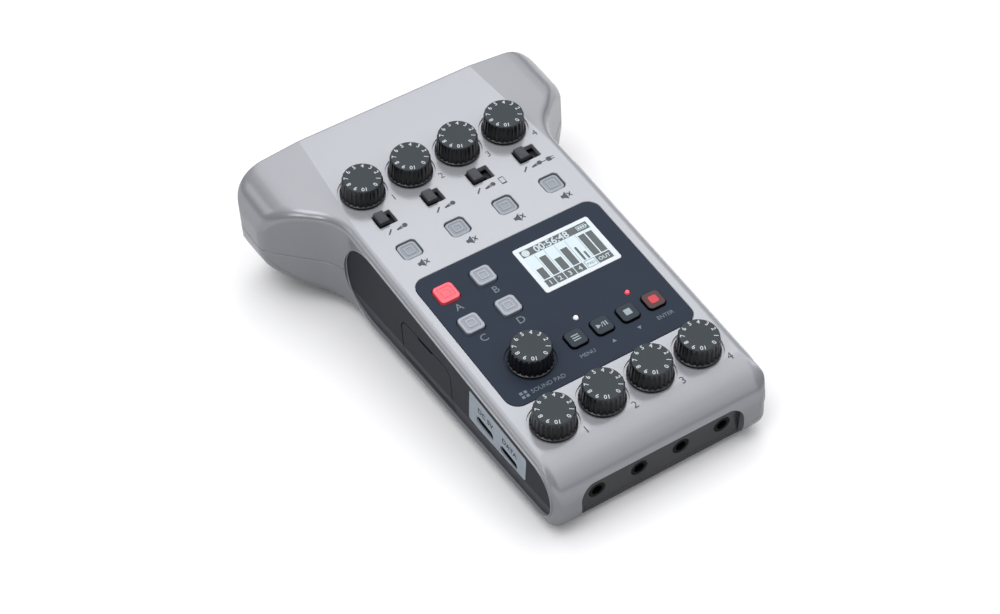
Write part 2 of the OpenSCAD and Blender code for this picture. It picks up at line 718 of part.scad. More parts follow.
// Bed of the battery door, with the grooves that its tongues run in
bay_door_w = bay_w + 2 * bay_ledge;
bay_door_l = bay_l + 2 * bay_ledge;
module bay_recess() {
    low = bay_y - bay_door_l / 2 - bay_travel - door_fit;
    length = bay_door_l + bay_travel + 2 * door_fit;
    translate([-bay_door_w / 2 - door_fit, low, 0]) cube([bay_door_w + 2 * door_fit, length, bay_floor]);
    translate([-bay_door_w / 2 - tongue - door_fit, low, bay_floor - tongue_t - 2 * door_fit])
        cube([bay_door_w + 2 * tongue + 2 * door_fit, length, tongue_t + 2 * door_fit]);
}
module battery_door() {
    top = bay_floor - door_fit;
    low = bay_y - bay_door_l / 2;
    rib_l = 1.2;
    color("silver") difference() {
        union() {
            translate([-bay_door_w / 2, low, foot_h]) cube([bay_door_w, bay_door_l, top - foot_h]);
            translate([-bay_door_w / 2 - tongue, low, top - tongue_t])
                cube([bay_door_w + 2 * tongue, bay_door_l, tongue_t]);
        }
        for (i = [0:3]) translate([-bay_w / 8, low + 4 + 2 * rib_l * i, foot_h - over])
            cube([bay_w / 4, rib_l, over + 0.4]);
    }
}
module batteries() {
    nub_l = 1.2;
    nub_r = 2.75;
    color("dimgray") for (s = [-1, 1])
        translate([-s * cell_l / 2, bay_y + s * cell_pitch / 2, cell_z]) rotate([0, s * 90, 0]) {
            cylinder(r = cell_r, h = cell_l - nub_l);
            cylinder(r = nub_r, h = cell_l);
        }
}
module battery_contacts() {
    gap = (bay_w - cell_l) / 2;
    leaf = [[0, -5], [contact_t, -5], [gap - 0.1, 0], [contact_t, 5], [0, 5], [0, 4.4],
            [gap - 0.1 - contact_t, 0], [0, -4.4]];
    color("silver") for (s = [0, 1]) mirror([s, 0, 0]) for (t = [-1, 1])
        translate([-bay_w / 2, bay_y + t * cell_pitch / 2, cell_z - 2])
            linear_extrude(4) polygon(leaf);
}
module rubber_feet() {
    color("dimgray") for (p = foot_places) translate([p[0], p[1], 0]) {
        cylinder(r1 = foot_r - 0.5, r2 = foot_r, h = 0.5);
        translate([0, 0, 0.5]) cylinder(r = foot_r, h = foot_h + foot_seat - 0.5);
    }
}
module case_screws() {
    seat = seam_drop + screw_seat;
    color("gray") at_places(bosses) difference() {
        union() {
            translate([0, 0, -seat - screw_head_h]) cylinder(r = screw_head_r, h = screw_head_h);
            translate([0, 0, -seat]) cylinder(r = screw_r, h = screw_seat + screw_bite);
        }
        translate([0, 0, -seat - screw_head_h]) cube([2.6, 0.6, 1.2], center = true);
        translate([0, 0, -seat - screw_head_h]) cube([0.6, 2.6, 1.2], center = true);
    }
}

module left_side_panel() {
    color([0.17, 0.18, 0.22]) difference() {
        mirror([1, 0, 0]) side_block(panel_in, panel_out) polygon(panel_outline(panel_fit));
        mirror([1, 0, 0]) side_block(panel_in - over, panel_out + over) polygon(door_outline(-door_gap));
        for (y = [door_front, door_rear]) translate([-door_axis_x, y, door_z]) rotate([90, 0, 0])
            cylinder(r = door_pin_r + shaft_fit, h = 2 * door_pin_l + 1, center = true);
        translate([-panel_out - over, door_front - door_gap, door_z - door_t / 2 - door_gap])
            cube([panel_t + 2 * over, door_l + 2 * door_gap, panel_t]);
        usb_plate_shape(-half_b - over, -half_b + usb_plate_t, panel_fit);
        usb_openings(-half_b - over, -half_b + side_wall, slack);
    }
}
module card_door() {
    bead = door_t / 2;
    color([0.17, 0.18, 0.22]) {
        difference() {
            union() {
                mirror([1, 0, 0]) side_block(panel_out - door_t, panel_out) polygon(door_outline(0));
                translate([-door_axis_x, door_rear, door_z]) rotate([90, 0, 0])
                    cylinder(r = bead, h = door_l);
            }
            translate([-half_b, (door_front + door_rear) / 2, door_top - 2.2])
                cube([0.8, 9, 1.6], center = true);
        }
        for (y = [door_front, door_rear]) translate([-door_axis_x, y, door_z]) rotate([90, 0, 0])
            cylinder(r = door_pin_r, h = 2 * door_pin_l, center = true);
    }
}
module right_side_panel() {
    color([0.17, 0.18, 0.22]) difference() {
        side_block(panel_in, panel_out) polygon(panel_outline(panel_fit));
        at_side_jack() translate([0, 0, -over]) cylinder(r = jack_nose_r + slack, h = side_wall + over);
        power_window(half_b - side_wall, half_b + over);
    }
}
module power_slider() {
    travel = power_travel;
    foot_x = half_b - side_wall - 0.1;
    color("black") {
        port_slot(foot_x, half_b + power_proud, power_at - travel / 2, port_drop, power_l, power_w);
        on_face() translate([foot_x - 1, -power_at + travel / 2, -port_drop])
            cube([2.4, lever_post, lever_post], center = true);
    }
}
module usb_plate() {
    color([0.78, 0.83, 0.88]) difference() {
        usb_plate_shape(-half_b, -half_b + usb_plate_t, 0);
        usb_openings(-half_b - over, -half_b + side_wall, slack);
    }
}
module usb_ports() {
    x0 = -half_b + usb_setback;
    tongue_w = 6.7;
    tongue_h = 0.7;
    color("lightgray") {
        difference() {
            usb_openings(x0, x0 + usb_depth, 0);
            for (b = usb_backs) port_slot(x0 - over, x0 + usb_depth - 1, b, port_drop, usb_w, usb_h);
        }
        for (b = usb_backs) on_face() translate([x0 + 1, -b - tongue_w / 2, -port_drop - tongue_h / 2])
            cube([usb_depth - 1.5, tongue_w, tongue_h]);
    }
}
module card_socket() {
    x0 = -half_b + side_wall + 0.2;
    color("lightgray") on_face() translate([x0, -door_mid, -board_drop - board_t - socket_h])
        difference() {
            translate([0, -socket_w / 2, 0]) cube([socket_l, socket_w, socket_h - slack / 2]);
            translate([-over, -card_w / 2 - 0.2, socket_wall])
                cube([socket_l, card_w + 0.4, card_t + 0.2]);
        }
}
module side_sockets() {
    usb_ports();
    card_socket();
}
// Miniature jack pointing down its bore from the mouth at the origin
module mini_jack(nose) {
    difference() {
        union() {
            cylinder(r = jack_nose_r, h = nose + slack);
            translate([-jack_body_w / 2, -jack_body_h / 2, nose])
                cube([jack_body_w, jack_body_h, jack_body_l]);
        }
        translate([0, 0, -over]) cylinder(r = jack_r, h = jack_l + over);
    }
}
module mini_jacks() {
    color([0.12, 0.12, 0.13]) {
        at_jacks() mini_jack(jack_nose_l);
        at_side_jack() rotate([0, 0, 90]) mini_jack(side_wall + clear);
    }
}

module xlr_shells() {
    flange_t = 1.4;
    flange_r = xlr_r + 1.1;
    color([0.1, 0.1, 0.11]) at_xlr() difference() {
        union() {
            cylinder(r = xlr_r, h = xlr_d + xlr_floor);
            translate([0, 0, wall + slack]) cylinder(r = flange_r, h = flange_t);
        }
        translate([0, 0, -over]) cylinder(r = xlr_bore, h = xlr_d + over);
    }
}
module xlr_inserts() {
    setback = 1.2;
    key_w = 2.4;
    color([0.08, 0.08, 0.09]) at_xlr() difference() {
        translate([0, 0, setback]) cylinder(r = xlr_core, h = xlr_d - setback);
        xlr_pin_bores(setback + 0.4, xlr_pin_r + 0.35 + slack / 2);
        xlr_pin_bores(setback - over, xlr_pin_r);
        translate([-key_w / 2, xlr_core - 1.2, setback - over]) cube([key_w, 3, 8]);
    }
}
module xlr_pin_bores(z, r) {
    for (a = [-90, 30, 150]) translate([xlr_pins * cos(a), xlr_pins * sin(a), z])
        cylinder(r = r, h = xlr_d);
}
module xlr_contacts() {
    setback = 1.6;
    color("gold") at_xlr() difference() {
        intersection() {
            xlr_pin_bores(setback, xlr_pin_r + 0.35);
            cylinder(r = xlr_core, h = xlr_d);
        }
        intersection() {
            xlr_pin_bores(setback - over, xlr_pin_r);
            cylinder(r = xlr_core, h = xlr_d - 3);
        }
    }
}

module control_panel() {
    color([0.2, 0.23, 0.28]) difference() {
        at_places([cp_place]) face_block(cp_w, cp_long, cp_r, -cp_t, 0);
        at_places(pad_places) button_hole(pad_s);
        at_places(transport_places) button_hole(transport_s);
        at_places([pad_knob_place]) through_hole(shaft_r + clear);
        at_places(led_places) through_hole(led_r + slack);
        at_places([lcd_place]) face_block(lcd_w + 2 * slack, lcd_long + 2 * slack, 0.8, -wall, over);
    }
}
module display_window() {
    color([0.85, 0.92, 0.95]) at_places([lcd_place]) face_block(lcd_w, lcd_long, 0.8, -cp_t, 0);
}
module display_module() {
    bezel = 2.4;
    color([0.75, 0.85, 0.85]) at_places([lcd_place]) {
        face_block(lcd_w + 2 * bezel, lcd_long + 2 * bezel, 0.5, -board_drop, -wall - 0.6);
        face_block(lcd_w, lcd_long, 0.4, -wall - 0.6, -wall - slack);
    }
}
// Brass pillars from the ceiling of the top shell, through the board, to the screw columns
module standoffs() {
    foot = (seam_drop + seam_gap) * cos(face_tilt);
    color("gold") at_places(bosses) difference() {
        union() {
            translate([0, 0, -board_drop]) cylinder(r = boss_r, h = board_drop - wall);
            translate([0, 0, -foot]) cylinder(r = post_r, h = foot - wall);
        }
        translate([0, 0, -foot - over]) cylinder(r = screw_r + slack, h = screw_bite + over + 1);
    }
}
module main_board() {
    color([0.1, 0.35, 0.2]) difference() {
        on_face() translate([-board_w / 2, -board_front, -board_drop - board_t])
            cube([board_w, board_front - board_rear, board_t]);
        at_places(bosses) translate([0, 0, -board_drop - board_t - over])
            cylinder(r = post_r + 0.2, h = board_t + 2 * over);
    }
}
module pot_bodies() {
    color("slategray") difference() {
        at_places(knob_places) face_block(pot_w, pot_l, 0.6, -board_drop, -pot_top);
        at_places(knob_places) translate([0, 0, -shaft_foot - 0.2])
            cylinder(r = shaft_r + shaft_fit, h = shaft_foot);
    }
}
module slide_switch_bodies() {
    color("gray") {
        for (i = [0:3]) at_places([switch_places[i]]) difference() {
            face_block(lever_travel[i] + switch_body, switch_body, 0.3, -board_drop, -switch_body_top);
            face_block(lever_post + lever_travel[i] + 2 * button_gap, lever_post + 2 * button_gap, 0.2,
                       -lever_post_end - button_gap, -switch_body_top + over);
        }
        on_face() translate([0, -power_at, -port_drop]) difference() {
            x1 = half_b - side_wall - 0.8;
            h = 2 * (port_drop - board_drop - board_t) - slack;
            translate([x1 - 5, -power_travel / 2 - 3.5, -h / 2]) cube([5, power_travel + 7, h]);
            slot_l = power_travel + lever_post + 2 * button_gap;
            slot_h = lever_post + 2 * button_gap;
            translate([x1 - 2.4, -slot_l / 2, -slot_h / 2]) cube([3.4, slot_l, slot_h]);
        }
    }
}
module tact_switches() {
    color("dimgray") at_places(concat(mute_places, pad_places, transport_places)) {
        face_block(tact_s, tact_s, 0.3, -board_drop, -board_drop + tact_h);
        translate([0, 0, -board_drop + tact_h]) cylinder(r = plunger_r, h = plunger_h);
    }
}
module status_leds() {
    dome = 0.25;
    color("white") at_places(led_places) {
        translate([0, 0, -board_drop]) cylinder(r = led_r, h = board_drop - cp_t / 2);
        translate([0, 0, -board_drop]) cylinder(r = led_r + 0.7, h = 3);
        translate([0, 0, -cp_t / 2]) cylinder(r1 = led_r, r2 = led_r - dome, h = cp_t / 2 + dome);
    }
}

// Fluted knob pressed on the flatted end of its shaft
module knob(p) {
    step = 360 / knob_flutes;
    skirt_h = knob_top - knob_gap - knob_cap;
    color([0.06, 0.06, 0.07]) at_places([p]) difference() {
        union() {
            translate([0, 0, knob_gap]) linear_extrude(skirt_h, scale = knob_r / knob_foot_r)
                polygon([for (i = [0:knob_flutes - 1]) for (f = [[0, 0], [0.5, 0], [0.75, 1]])
                    (knob_foot_r - f[1] * flute_d) * [cos((i + f[0]) * step), sin((i + f[0]) * step)]]);
            translate([0, 0, knob_top - knob_cap])
                cylinder(r1 = knob_r - flute_d, r2 = knob_r - 0.7, h = knob_cap);
        }
        difference() {
            translate([0, 0, knob_gap - over])
                cylinder(r = shaft_r + slack / 2, h = knob_top - knob_bore_roof - knob_gap + over);
            translate([-shaft_r - 1, shaft_r - shaft_flat + slack / 2, 0])
                cube([2 * shaft_r + 2, shaft_r, knob_top]);
        }
    }
}
module shaft(p) {
    end = knob_top - knob_bore_roof - 0.1;
    color("silver") at_places([p]) difference() {
        translate([0, 0, -shaft_foot]) cylinder(r = shaft_r, h = shaft_foot + end);
        translate([-shaft_r - 1, shaft_r - shaft_flat, 0]) cube([2 * shaft_r + 2, shaft_r, knob_top]);
    }
}
// Slide lever, drawn at the left end of its slot
module lever(i) {
    ribs = 3;
    color([0.1, 0.1, 0.11]) at_places([switch_places[i]]) translate([-lever_travel[i] / 2, 0, 0]) {
        difference() {
            face_block(lever_w, lever_l, 0.4, -lever_foot, lever_top);
            for (k = [-1:1]) translate([k * lever_w / (ribs + 1), 0, lever_top])
                cube([0.4, lever_l + over, 0.6], center = true);
        }
        face_block(lever_post, lever_post, 0.2, -lever_post_end, -lever_foot + slack);
    }
}
// Button with a flange under the shell and a stem over its switch
module button(p, s, tone, top) {
    under = -wall - 0.15;
    color(tone) at_places([p]) {
        face_block(s, s, button_r, under, top - 0.3);
        face_block(s - 0.6, s - 0.6, button_r - 0.3, top - 0.3, top);
        face_block(s + 2 * button_gap + 0.8, s + 2 * button_gap + 0.8, button_r, under - flange, under);
        translate([0, 0, -stem_end]) cylinder(r = stem_r, h = stem_end + under);
    }
}

top_shell();
bottom_shell();
left_side_panel();
right_side_panel();
control_panel();
display_window();
display_module();
main_board();
pot_bodies();
slide_switch_bodies();
tact_switches();
status_leds();
xlr_shells();
xlr_inserts();
xlr_contacts();
mini_jacks();
usb_plate();
side_sockets();
standoffs();
batteries();
battery_contacts();
rubber_feet();
case_screws();
card_door();
power_slider();
battery_door();
knob(pad_knob_place);  // pad_knob
shaft(pad_knob_place);  // pad_shaft
for (i = [0:3]) {
    knob(gain_places[i]);
    shaft(gain_places[i]);
    knob(phones_places[i]);
    shaft(phones_places[i]);
    lever(i);
    button(mute_places[i], mute_s, [0.8, 0.82, 0.85], -mute_sink);
    button(pad_places[i], pad_s, i == 0 ? [1, 0.4, 0.45] : [0.65, 0.67, 0.7], button_top);
    button(transport_places[i], transport_s, [0.25, 0.27, 0.3], button_top);
}
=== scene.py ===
import json
import math

import bmesh
import bpy
import numpy as np
from mathutils import Matrix, Vector

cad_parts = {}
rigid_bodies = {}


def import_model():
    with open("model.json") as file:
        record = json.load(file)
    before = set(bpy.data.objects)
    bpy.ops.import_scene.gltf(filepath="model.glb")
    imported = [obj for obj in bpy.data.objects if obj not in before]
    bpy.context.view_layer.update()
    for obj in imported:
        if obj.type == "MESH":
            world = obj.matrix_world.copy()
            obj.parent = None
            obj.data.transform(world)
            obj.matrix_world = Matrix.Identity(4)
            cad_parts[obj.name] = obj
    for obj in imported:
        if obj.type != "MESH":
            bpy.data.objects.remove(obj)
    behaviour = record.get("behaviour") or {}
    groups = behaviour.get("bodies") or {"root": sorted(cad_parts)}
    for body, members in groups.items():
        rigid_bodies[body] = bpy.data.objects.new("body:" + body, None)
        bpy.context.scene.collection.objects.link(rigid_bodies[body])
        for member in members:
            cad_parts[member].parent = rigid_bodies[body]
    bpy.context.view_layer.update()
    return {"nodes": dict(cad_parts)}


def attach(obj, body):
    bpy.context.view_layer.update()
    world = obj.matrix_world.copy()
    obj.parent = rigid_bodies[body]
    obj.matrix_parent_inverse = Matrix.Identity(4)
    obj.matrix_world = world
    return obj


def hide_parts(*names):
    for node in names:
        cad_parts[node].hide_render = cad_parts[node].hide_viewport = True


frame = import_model()

# Lower shell: a moulded plastic tray in silver paint. It carries the battery bay, and four screws
# from below pull it up against the upper shell along the joint line round the case.
MM = 0.001
HALF_L, HALF_W, HALF_B = 77.5, 57.0, 38.2
REAR_H, TILT = 43.2, math.radians(6.7)
SEAM_DROP, SEAM_GAP, SEAM_ROUND = 20.0, 0.2, 0.25
FOOT_H, WALL, FLOOR_T = 1.5, 2.0, 2.2
SIDE_WALL, FRONT_WALL = 3.2, 4.1
NECK_BACK, WING_BACK, CREASE_X = 35.0, 17.0, 32.0
WING_FALL, WING_RISE = math.tan(math.radians(5.4)), math.tan(math.radians(21.8))
FRONT_TUCK, TIP_UNDER = 8.0, 10.0
UNDER_EDGES = np.array([FRONT_TUCK, 3.2, 5.0, TIP_UNDER, 3.0])
PLAN_CORNERS, LEAST_CORNER = [3.5, 17.5, 7.0, 5.0], 0.6
ARC_STEPS = [12, 24, 18, 14]
LINE_STEPS, SIDE_STEPS, CAP_COLUMNS = 8, 30, 22
NECK_HEADING = math.atan2(NECK_BACK - WING_BACK, HALF_W - HALF_B)
HEADINGS = [0.0, math.pi / 2, NECK_HEADING, math.pi / 2, math.pi]
FRONT_H = REAR_H - 2 * HALF_L * math.tan(TILT) - FOOT_H
FRONT_ONLY, NOT_TIP = np.array([1.0, 0, 0, 0, 0]), np.array([1.0, 1, 1, 0, 1])


def face_height(y):
    """Height of the sloping control face over the table at the distance y."""
    return REAR_H - (HALF_L - y) * math.tan(TILT)


def along(start, stop, steps):
    """Points between two ends, the ends left out."""
    share = (np.arange(1, steps + 1) / (steps + 1))[None, :, None]
    return start * (1 - share) + stop * share


def plan_rounds(inset, drop, crease):
    """Rounds of the case seen from above, one per row of inset.

    Front, side, neck, wing end and rear wall each move in by their own inset. An arc
    joins each wall to the next, and the third value eases from one wall's drop to the
    next one's along that arc. The right half is worked out and mirrored.
    """
    inset = np.atleast_2d(np.asarray(inset, float))
    drop = np.broadcast_to(np.asarray(drop, float), inset.shape)
    side_x, tip_x = HALF_B - inset[:, 1], HALF_W - inset[:, 3]
    lean, rise = -math.sin(NECK_HEADING), math.cos(NECK_HEADING)
    neck = [HALF_L - NECK_BACK + (inset[:, 2] - (x - HALF_B) * lean) / rise for x in (side_x, tip_x)]
    points = [np.stack(p, 1) for p in ((side_x, inset[:, 0] - HALF_L), (side_x, neck[0]),
                                       (tip_x, neck[1]), (tip_x, HALF_L - inset[:, 4]))]
    arcs = []
    for k, (point, steps) in enumerate(zip(points, ARC_STEPS)):
        a, b = HEADINGS[k], HEADINGS[k + 1]
        turn = math.copysign(1, b - a)
        closer = np.minimum(inset[:, k], inset[:, k + 1])
        radius = (PLAN_CORNERS[1] + inset[:, 2] if k == 1 else
                  np.maximum(PLAN_CORNERS[k] - closer, LEAST_CORNER))
        share = np.linspace(0, 1, steps + 1)
        heading = a + (b - a) * share
        way, out = np.array([math.cos(a), math.sin(a)]), np.array([-math.sin(a), math.cos(a)])
        middle = point - np.outer(radius * math.tan(abs(b - a) / 2), way) + np.outer(turn * radius, out)
        spoke = np.stack([np.sin(heading), -np.cos(heading)], 1)
        flat = middle[:, None] + (turn * radius)[:, None, None] * spoke
        ease = share * share * (3 - 2 * share)
        fall = drop[:, k, None] + (drop[:, k + 1] - drop[:, k])[:, None] * ease
        arcs.append(np.concatenate([flat, fall[..., None]], 2))
    rear = np.stack([np.full(len(inset), crease), HALF_L - inset[:, 4], drop[:, 4]], 1)[:, None]
    side_line = along(arcs[0][:, -1:], arcs[1][:, :1], SIDE_STEPS)
    neck_line = along(arcs[1][:, -1:], arcs[2][:, :1], LINE_STEPS)
    rear_line = along(arcs[3][:, -1:], rear, LINE_STEPS)
    right = np.concatenate([arcs[0], side_line, arcs[1], neck_line, arcs[2], arcs[3], rear_line, rear], 1)
    left = right[:, ::-1] * [-1, 1, 1]
    back_line = along(right[:, -1:], left[:, :1], CAP_COLUMNS - 1)
    front_line = along(left[:, -1:], right[:, :1], CAP_COLUMNS - 1)
    return np.concatenate([right, back_line, left, front_line], 1)


HALF_N = sum(ARC_STEPS) + 2 * LINE_STEPS + SIDE_STEPS + 5
ROUND_N = 2 * (HALF_N + CAP_COLUMNS - 1)
NECK_I = ARC_STEPS[0] + SIDE_STEPS + 1


def end_roll(x, radius, middle):
    """Fall of a round of this radius that ends a wing, from the distance middle outwards."""
    out = np.clip(np.abs(x) - middle, 0, radius)
    return radius - np.sqrt(radius ** 2 - out ** 2)


def wall_rounds(inset, depth):
    """Rounds of the upright walls, each at its own depth below the sloping face."""
    rounds = plan_rounds(inset, np.zeros(5), CREASE_X)
    rounds[..., 2] = face_height(rounds[..., 1]) - np.reshape(depth, (-1, 1))
    return rounds


def tuck_inset(depth):
    """How far the front wall has curved under at a depth: x = r - sqrt(r^2 - (r - e)^2)."""
    left = np.clip(FRONT_TUCK - (FRONT_H - np.asarray(depth, float)), 0, FRONT_TUCK)
    return FRONT_TUCK - np.sqrt(FRONT_TUCK ** 2 - left ** 2)


def under_rounds(inset, drop, height, roll, flat):
    """Rounds of the underside: a flat base whose wings rise outside the body and end in a roll."""
    rounds = plan_rounds(inset, drop, flat)
    out = np.abs(rounds[..., 0])
    rounds[..., 2] += height + WING_RISE * np.maximum(out - flat, 0) + end_roll(out, *roll)
    return rounds


def strip_faces(rows, columns):
    """Quads between closed rounds that follow one another down the outside of a solid."""
    row, column = np.meshgrid(np.arange(rows - 1), np.arange(columns), indexing="ij")
    near, far = row * columns + column, row * columns + (column + 1) % columns
    return np.stack([near, near + columns, far + columns, far], -1).reshape(-1, 4).tolist()


def loft(rounds):
    """Closed shell through rounds: quads between them, and two ends.

    Each end has a grid between the right and the left half of its round, from the front
    to where the neck starts and on to the rear, and one face for each wing.
    """
    flat = rounds.reshape(-1, 3)
    points, faces = [flat], strip_faces(len(rounds), ROUND_N)
    middle = CAP_COLUMNS - 1
    right = np.append(np.arange(NECK_I + 1), HALF_N - 1)
    left = 2 * HALF_N + middle - 1 - right
    wings = [np.arange(NECK_I, HALF_N), np.arange(HALF_N + middle, left[NECK_I] + 1)]
    for first, way in ((0, 1), ((len(rounds) - 1) * ROUND_N, -1)):
        start = sum(len(p) for p in points)
        across = along(flat[first + right[1:-1], None], flat[first + left[1:-1], None], middle)
        points.append(across.reshape(-1, 3))
        inside = start + np.arange((len(right) - 2) * middle).reshape(-1, middle)
        front, back = np.arange(ROUND_N - 1, ROUND_N - 1 - middle, -1), HALF_N + np.arange(middle)
        between = np.vstack([first + front, inside, first + back])
        grid = np.column_stack([first + right, between, first + left])
        quads = np.stack([grid[:-1, :-1], grid[1:, :-1], grid[1:, 1:], grid[:-1, 1:]], -1).reshape(-1, 4)
        faces += quads[:, ::way].tolist() + [(first + w)[::way].tolist() for w in wings]
    return np.concatenate(points), faces


def outline(width, length, radius, steps=8):
    """Rounded rectangle: four quarter arcs, counter-clockwise, as points (a, b)."""
    angle = np.linspace(0, math.pi / 2, steps + 1)
    turn = np.arange(4)[:, None] * math.pi / 2 + angle
    middle = np.array([[1, 1], [-1, 1], [-1, -1], [1, -1]]) * [width / 2 - radius, length / 2 - radius]
    arcs = middle[:, None] + radius * np.stack([np.cos(turn), np.sin(turn)], -1)
    return arcs.reshape(-1, 2)


def circle(radius, steps=64):
    """Circle as points (a, b), counter-clockwise."""
    turn = np.arange(steps) * 2 * math.pi / steps
    return radius * np.stack([np.cos(turn), np.sin(turn)], -1)


def stack(levels):
    """Solid through outlines of one length, each with its height: side quads and two end faces."""
    count = len(levels[0][0])
    points = np.concatenate([np.column_stack([ring, np.full(count, height)]) for ring, height in levels])
    last = (len(levels) - 1) * count
    faces = strip_faces(len(levels), count) + [[*range(count)], [*range(last + count - 1, last - 1, -1)]]
    return points, faces


def on_face(points, x=0.0, back=0.0):
    """Points (a, b, w) about a place on the sloping face, into the case's own frame."""
    across, v, w = points[:, 0] + x, points[:, 1] - back, points[:, 2]
    c, s = math.cos(TILT), math.sin(TILT)
    return np.stack([across, HALF_L + c * v - s * w, REAR_H + s * v + c * w], 1)


def to_side(points, x=0.0, back=None, drop=0.0):
    """Outline (a to the rear, b up) with its height along X; back and drop set it on the face."""
    if back is None:
        return np.stack([points[:, 2] + x, points[:, 0], points[:, 1]], 1)
    return on_face(np.stack([points[:, 2] + x, points[:, 0], points[:, 1] - drop], 1), 0, back)


def to_front(points, x, v, drop):
    """Outline (a across, b up) with its height into the case, from the depth v on the face."""
    return on_face(np.stack([points[:, 0] + x, points[:, 2] + v, points[:, 1] - drop], 1))


def merged(*solids):
    """Several (points, faces) solids as one."""
    starts = np.cumsum([0] + [len(p) for p, _ in solids])
    faces = [[i + start for i in f] for (_, fs), start in zip(solids, starts) for f in fs]
    return np.concatenate([p for p, _ in solids]), faces


def solid_mesh(name, solid):
    """Mesh in millimetres, with its faces turned outwards: a closed solid's signed volume is positive."""
    points, faces = solid
    mesh = bpy.data.meshes.new(name)
    mesh.from_pydata(points.tolist(), [], faces)
    mesh.calc_loop_triangles()
    corners = np.empty(len(mesh.loop_triangles) * 3, np.int32)
    mesh.loop_triangles.foreach_get("vertices", corners)
    a, b, c = (points - points.mean(0))[corners.reshape(-1, 3)].transpose(1, 0, 2)
    if np.einsum("ij,ij->", a, np.cross(b, c)) < 0:
        mesh.flip_normals()
    return mesh


def settled(made):
    """The object's mesh with its modifiers worked into it."""
    kept = bpy.data.meshes.new_from_object(made.evaluated_get(bpy.context.evaluated_depsgraph_get()))
    made.modifiers.clear()
    made.data = kept
    return kept


def soften(made, angle, creases):
    """Smooth shading that breaks at sharp edges, with broad flat faces kept flat."""
    shape = bmesh.new()
    shape.from_mesh(made.data)
    bmesh.ops.triangulate(shape, faces=[f for f in shape.faces if len(f.verts) > 4])
    shape.to_mesh(made.data)
    shape.free()
    mesh = made.data
    mesh.shade_smooth()
    mesh.set_sharp_from_angle(angle=math.radians(angle))
    if creases is not None:
        spots = np.empty(len(mesh.vertices) * 3, np.float32)
        mesh.vertices.foreach_get("co", spots)
        ends = np.empty(len(mesh.edges) * 2, np.int32)
        mesh.edges.foreach_get("vertices", ends)
        sharp = np.empty(len(mesh.edges), bool)
        attribute = mesh.attributes["sharp_edge"]
        attribute.data.foreach_get("value", sharp)
        on = creases(spots.reshape(-1, 3))[ends.reshape(-1, 2)].all(1)
        attribute.data.foreach_set("value", sharp | on)
    made.modifiers.new("even", "WEIGHTED_NORMAL").keep_sharp = True
    settled(made)


def piece(name, solid, material, body="case", replaces=(), cuts=(), angle=30.0, creases=None):
    """A shown piece: its solid less the cutting solids, shaded, finished, and fixed to its body."""
    made = bpy.data.objects.new(name, solid_mesh(name, solid))
    bpy.context.scene.collection.objects.link(made)
    for cut in cuts:
        tool = bpy.data.objects.new(name + "_cut", solid_mesh(name + "_cut", cut))
        bpy.context.scene.collection.objects.link(tool)
        difference = made.modifiers.new("cut", "BOOLEAN")
        difference.operation, difference.solver, difference.object = "DIFFERENCE", "MANIFOLD", tool
        settled(made)
        bpy.data.objects.remove(tool)
    soften(made, angle, creases)
    made.data.transform(Matrix.Scale(MM, 4))
    made.data.name = name
    made.data.materials.clear()
    made.data.materials.append(material)
    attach(made, body)
    if replaces:
        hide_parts(*replaces)
    return made


class Wire:
    """One socket of a material's nodes, so that shader sums are written as plain sums."""

    def __init__(self, tree, socket=None):
        self.tree, self.socket = tree, socket

    def feed(self, node, inputs):
        """Fills a node's sockets: a wire is linked to its socket, and a constant is set on it."""
        for key, value in inputs.items():
            if isinstance(value, Wire):
                self.tree.links.new(value.socket, node.inputs[key])
            else:
                node.inputs[key].default_value = value

    def node(self, kind, inputs=None, settings=None, out=0):
        """Adds a node: its settings first, then its sockets' values or links; gives its output."""
        added = self.tree.nodes.new(kind)
        for key, value in (settings or {}).items():
            if key == "stops":
                ramp = added.color_ramp
                while len(ramp.elements) < len(value):
                    ramp.elements.new(1.0)
                for element, (place, colour) in zip(ramp.elements, value):
                    element.position, element.color = place, (*colour, 1)
            else:
                setattr(added, key, value)
        self.feed(added, inputs or {})
        return Wire(self.tree, added.outputs[out])

    def maths(self, operation, a, b=0.0):
        """Adds a Math node on one or two values or wires."""
        return self.node("ShaderNodeMath", {0: a, 1: b}, {"operation": operation})

    def __add__(self, other): return self.maths("ADD", self, other)
    def __radd__(self, other): return self.maths("ADD", other, self)
    def __sub__(self, other): return self.maths("SUBTRACT", self, other)
    def __rsub__(self, other): return self.maths("SUBTRACT", other, self)
    def __mul__(self, other): return self.maths("MULTIPLY", self, other)
    def __rmul__(self, other): return self.maths("MULTIPLY", other, self)
    def __gt__(self, other): return self.maths("GREATER_THAN", self, other)
    def __or__(self, other): return self.maths("MAXIMUM", self, other)
    def __abs__(self): return self.maths("ABSOLUTE", self)

    def clamped(self):
        """This wire held between 0 and 1."""
        return self.node("ShaderNodeClamp", {0: self})

    def blend(self, a, b):
        """Colour a where this wire is 0, colour b where it is 1."""
        a, b = (shade if isinstance(shade, Wire) else (*shade, 1) for shade in (a, b))
        return self.node("ShaderNodeMix", {0: self, 6: a, 7: b}, {"data_type": "RGBA"}, 2)


def srgb(red, green, blue):
    """Linear colour of a screen colour given as 0 to 255."""
    value = np.array([red, green, blue]) / 255
    return tuple(np.where(value <= 0.04045, value / 12.92, ((value + 0.055) / 1.055) ** 2.4).tolist())


def finish(name, paint):
    """A material whose Principled sockets come from paint(start wire), constants and wires alike."""
    made = bpy.data.materials.new(name)
    made.use_nodes = True
    start = Wire(made.node_tree)
    start.feed(made.node_tree.nodes["Principled BSDF"], paint(start))
    return made


def place(wire):
    """Object coordinates."""
    return wire.node("ShaderNodeTexCoord", out=3)


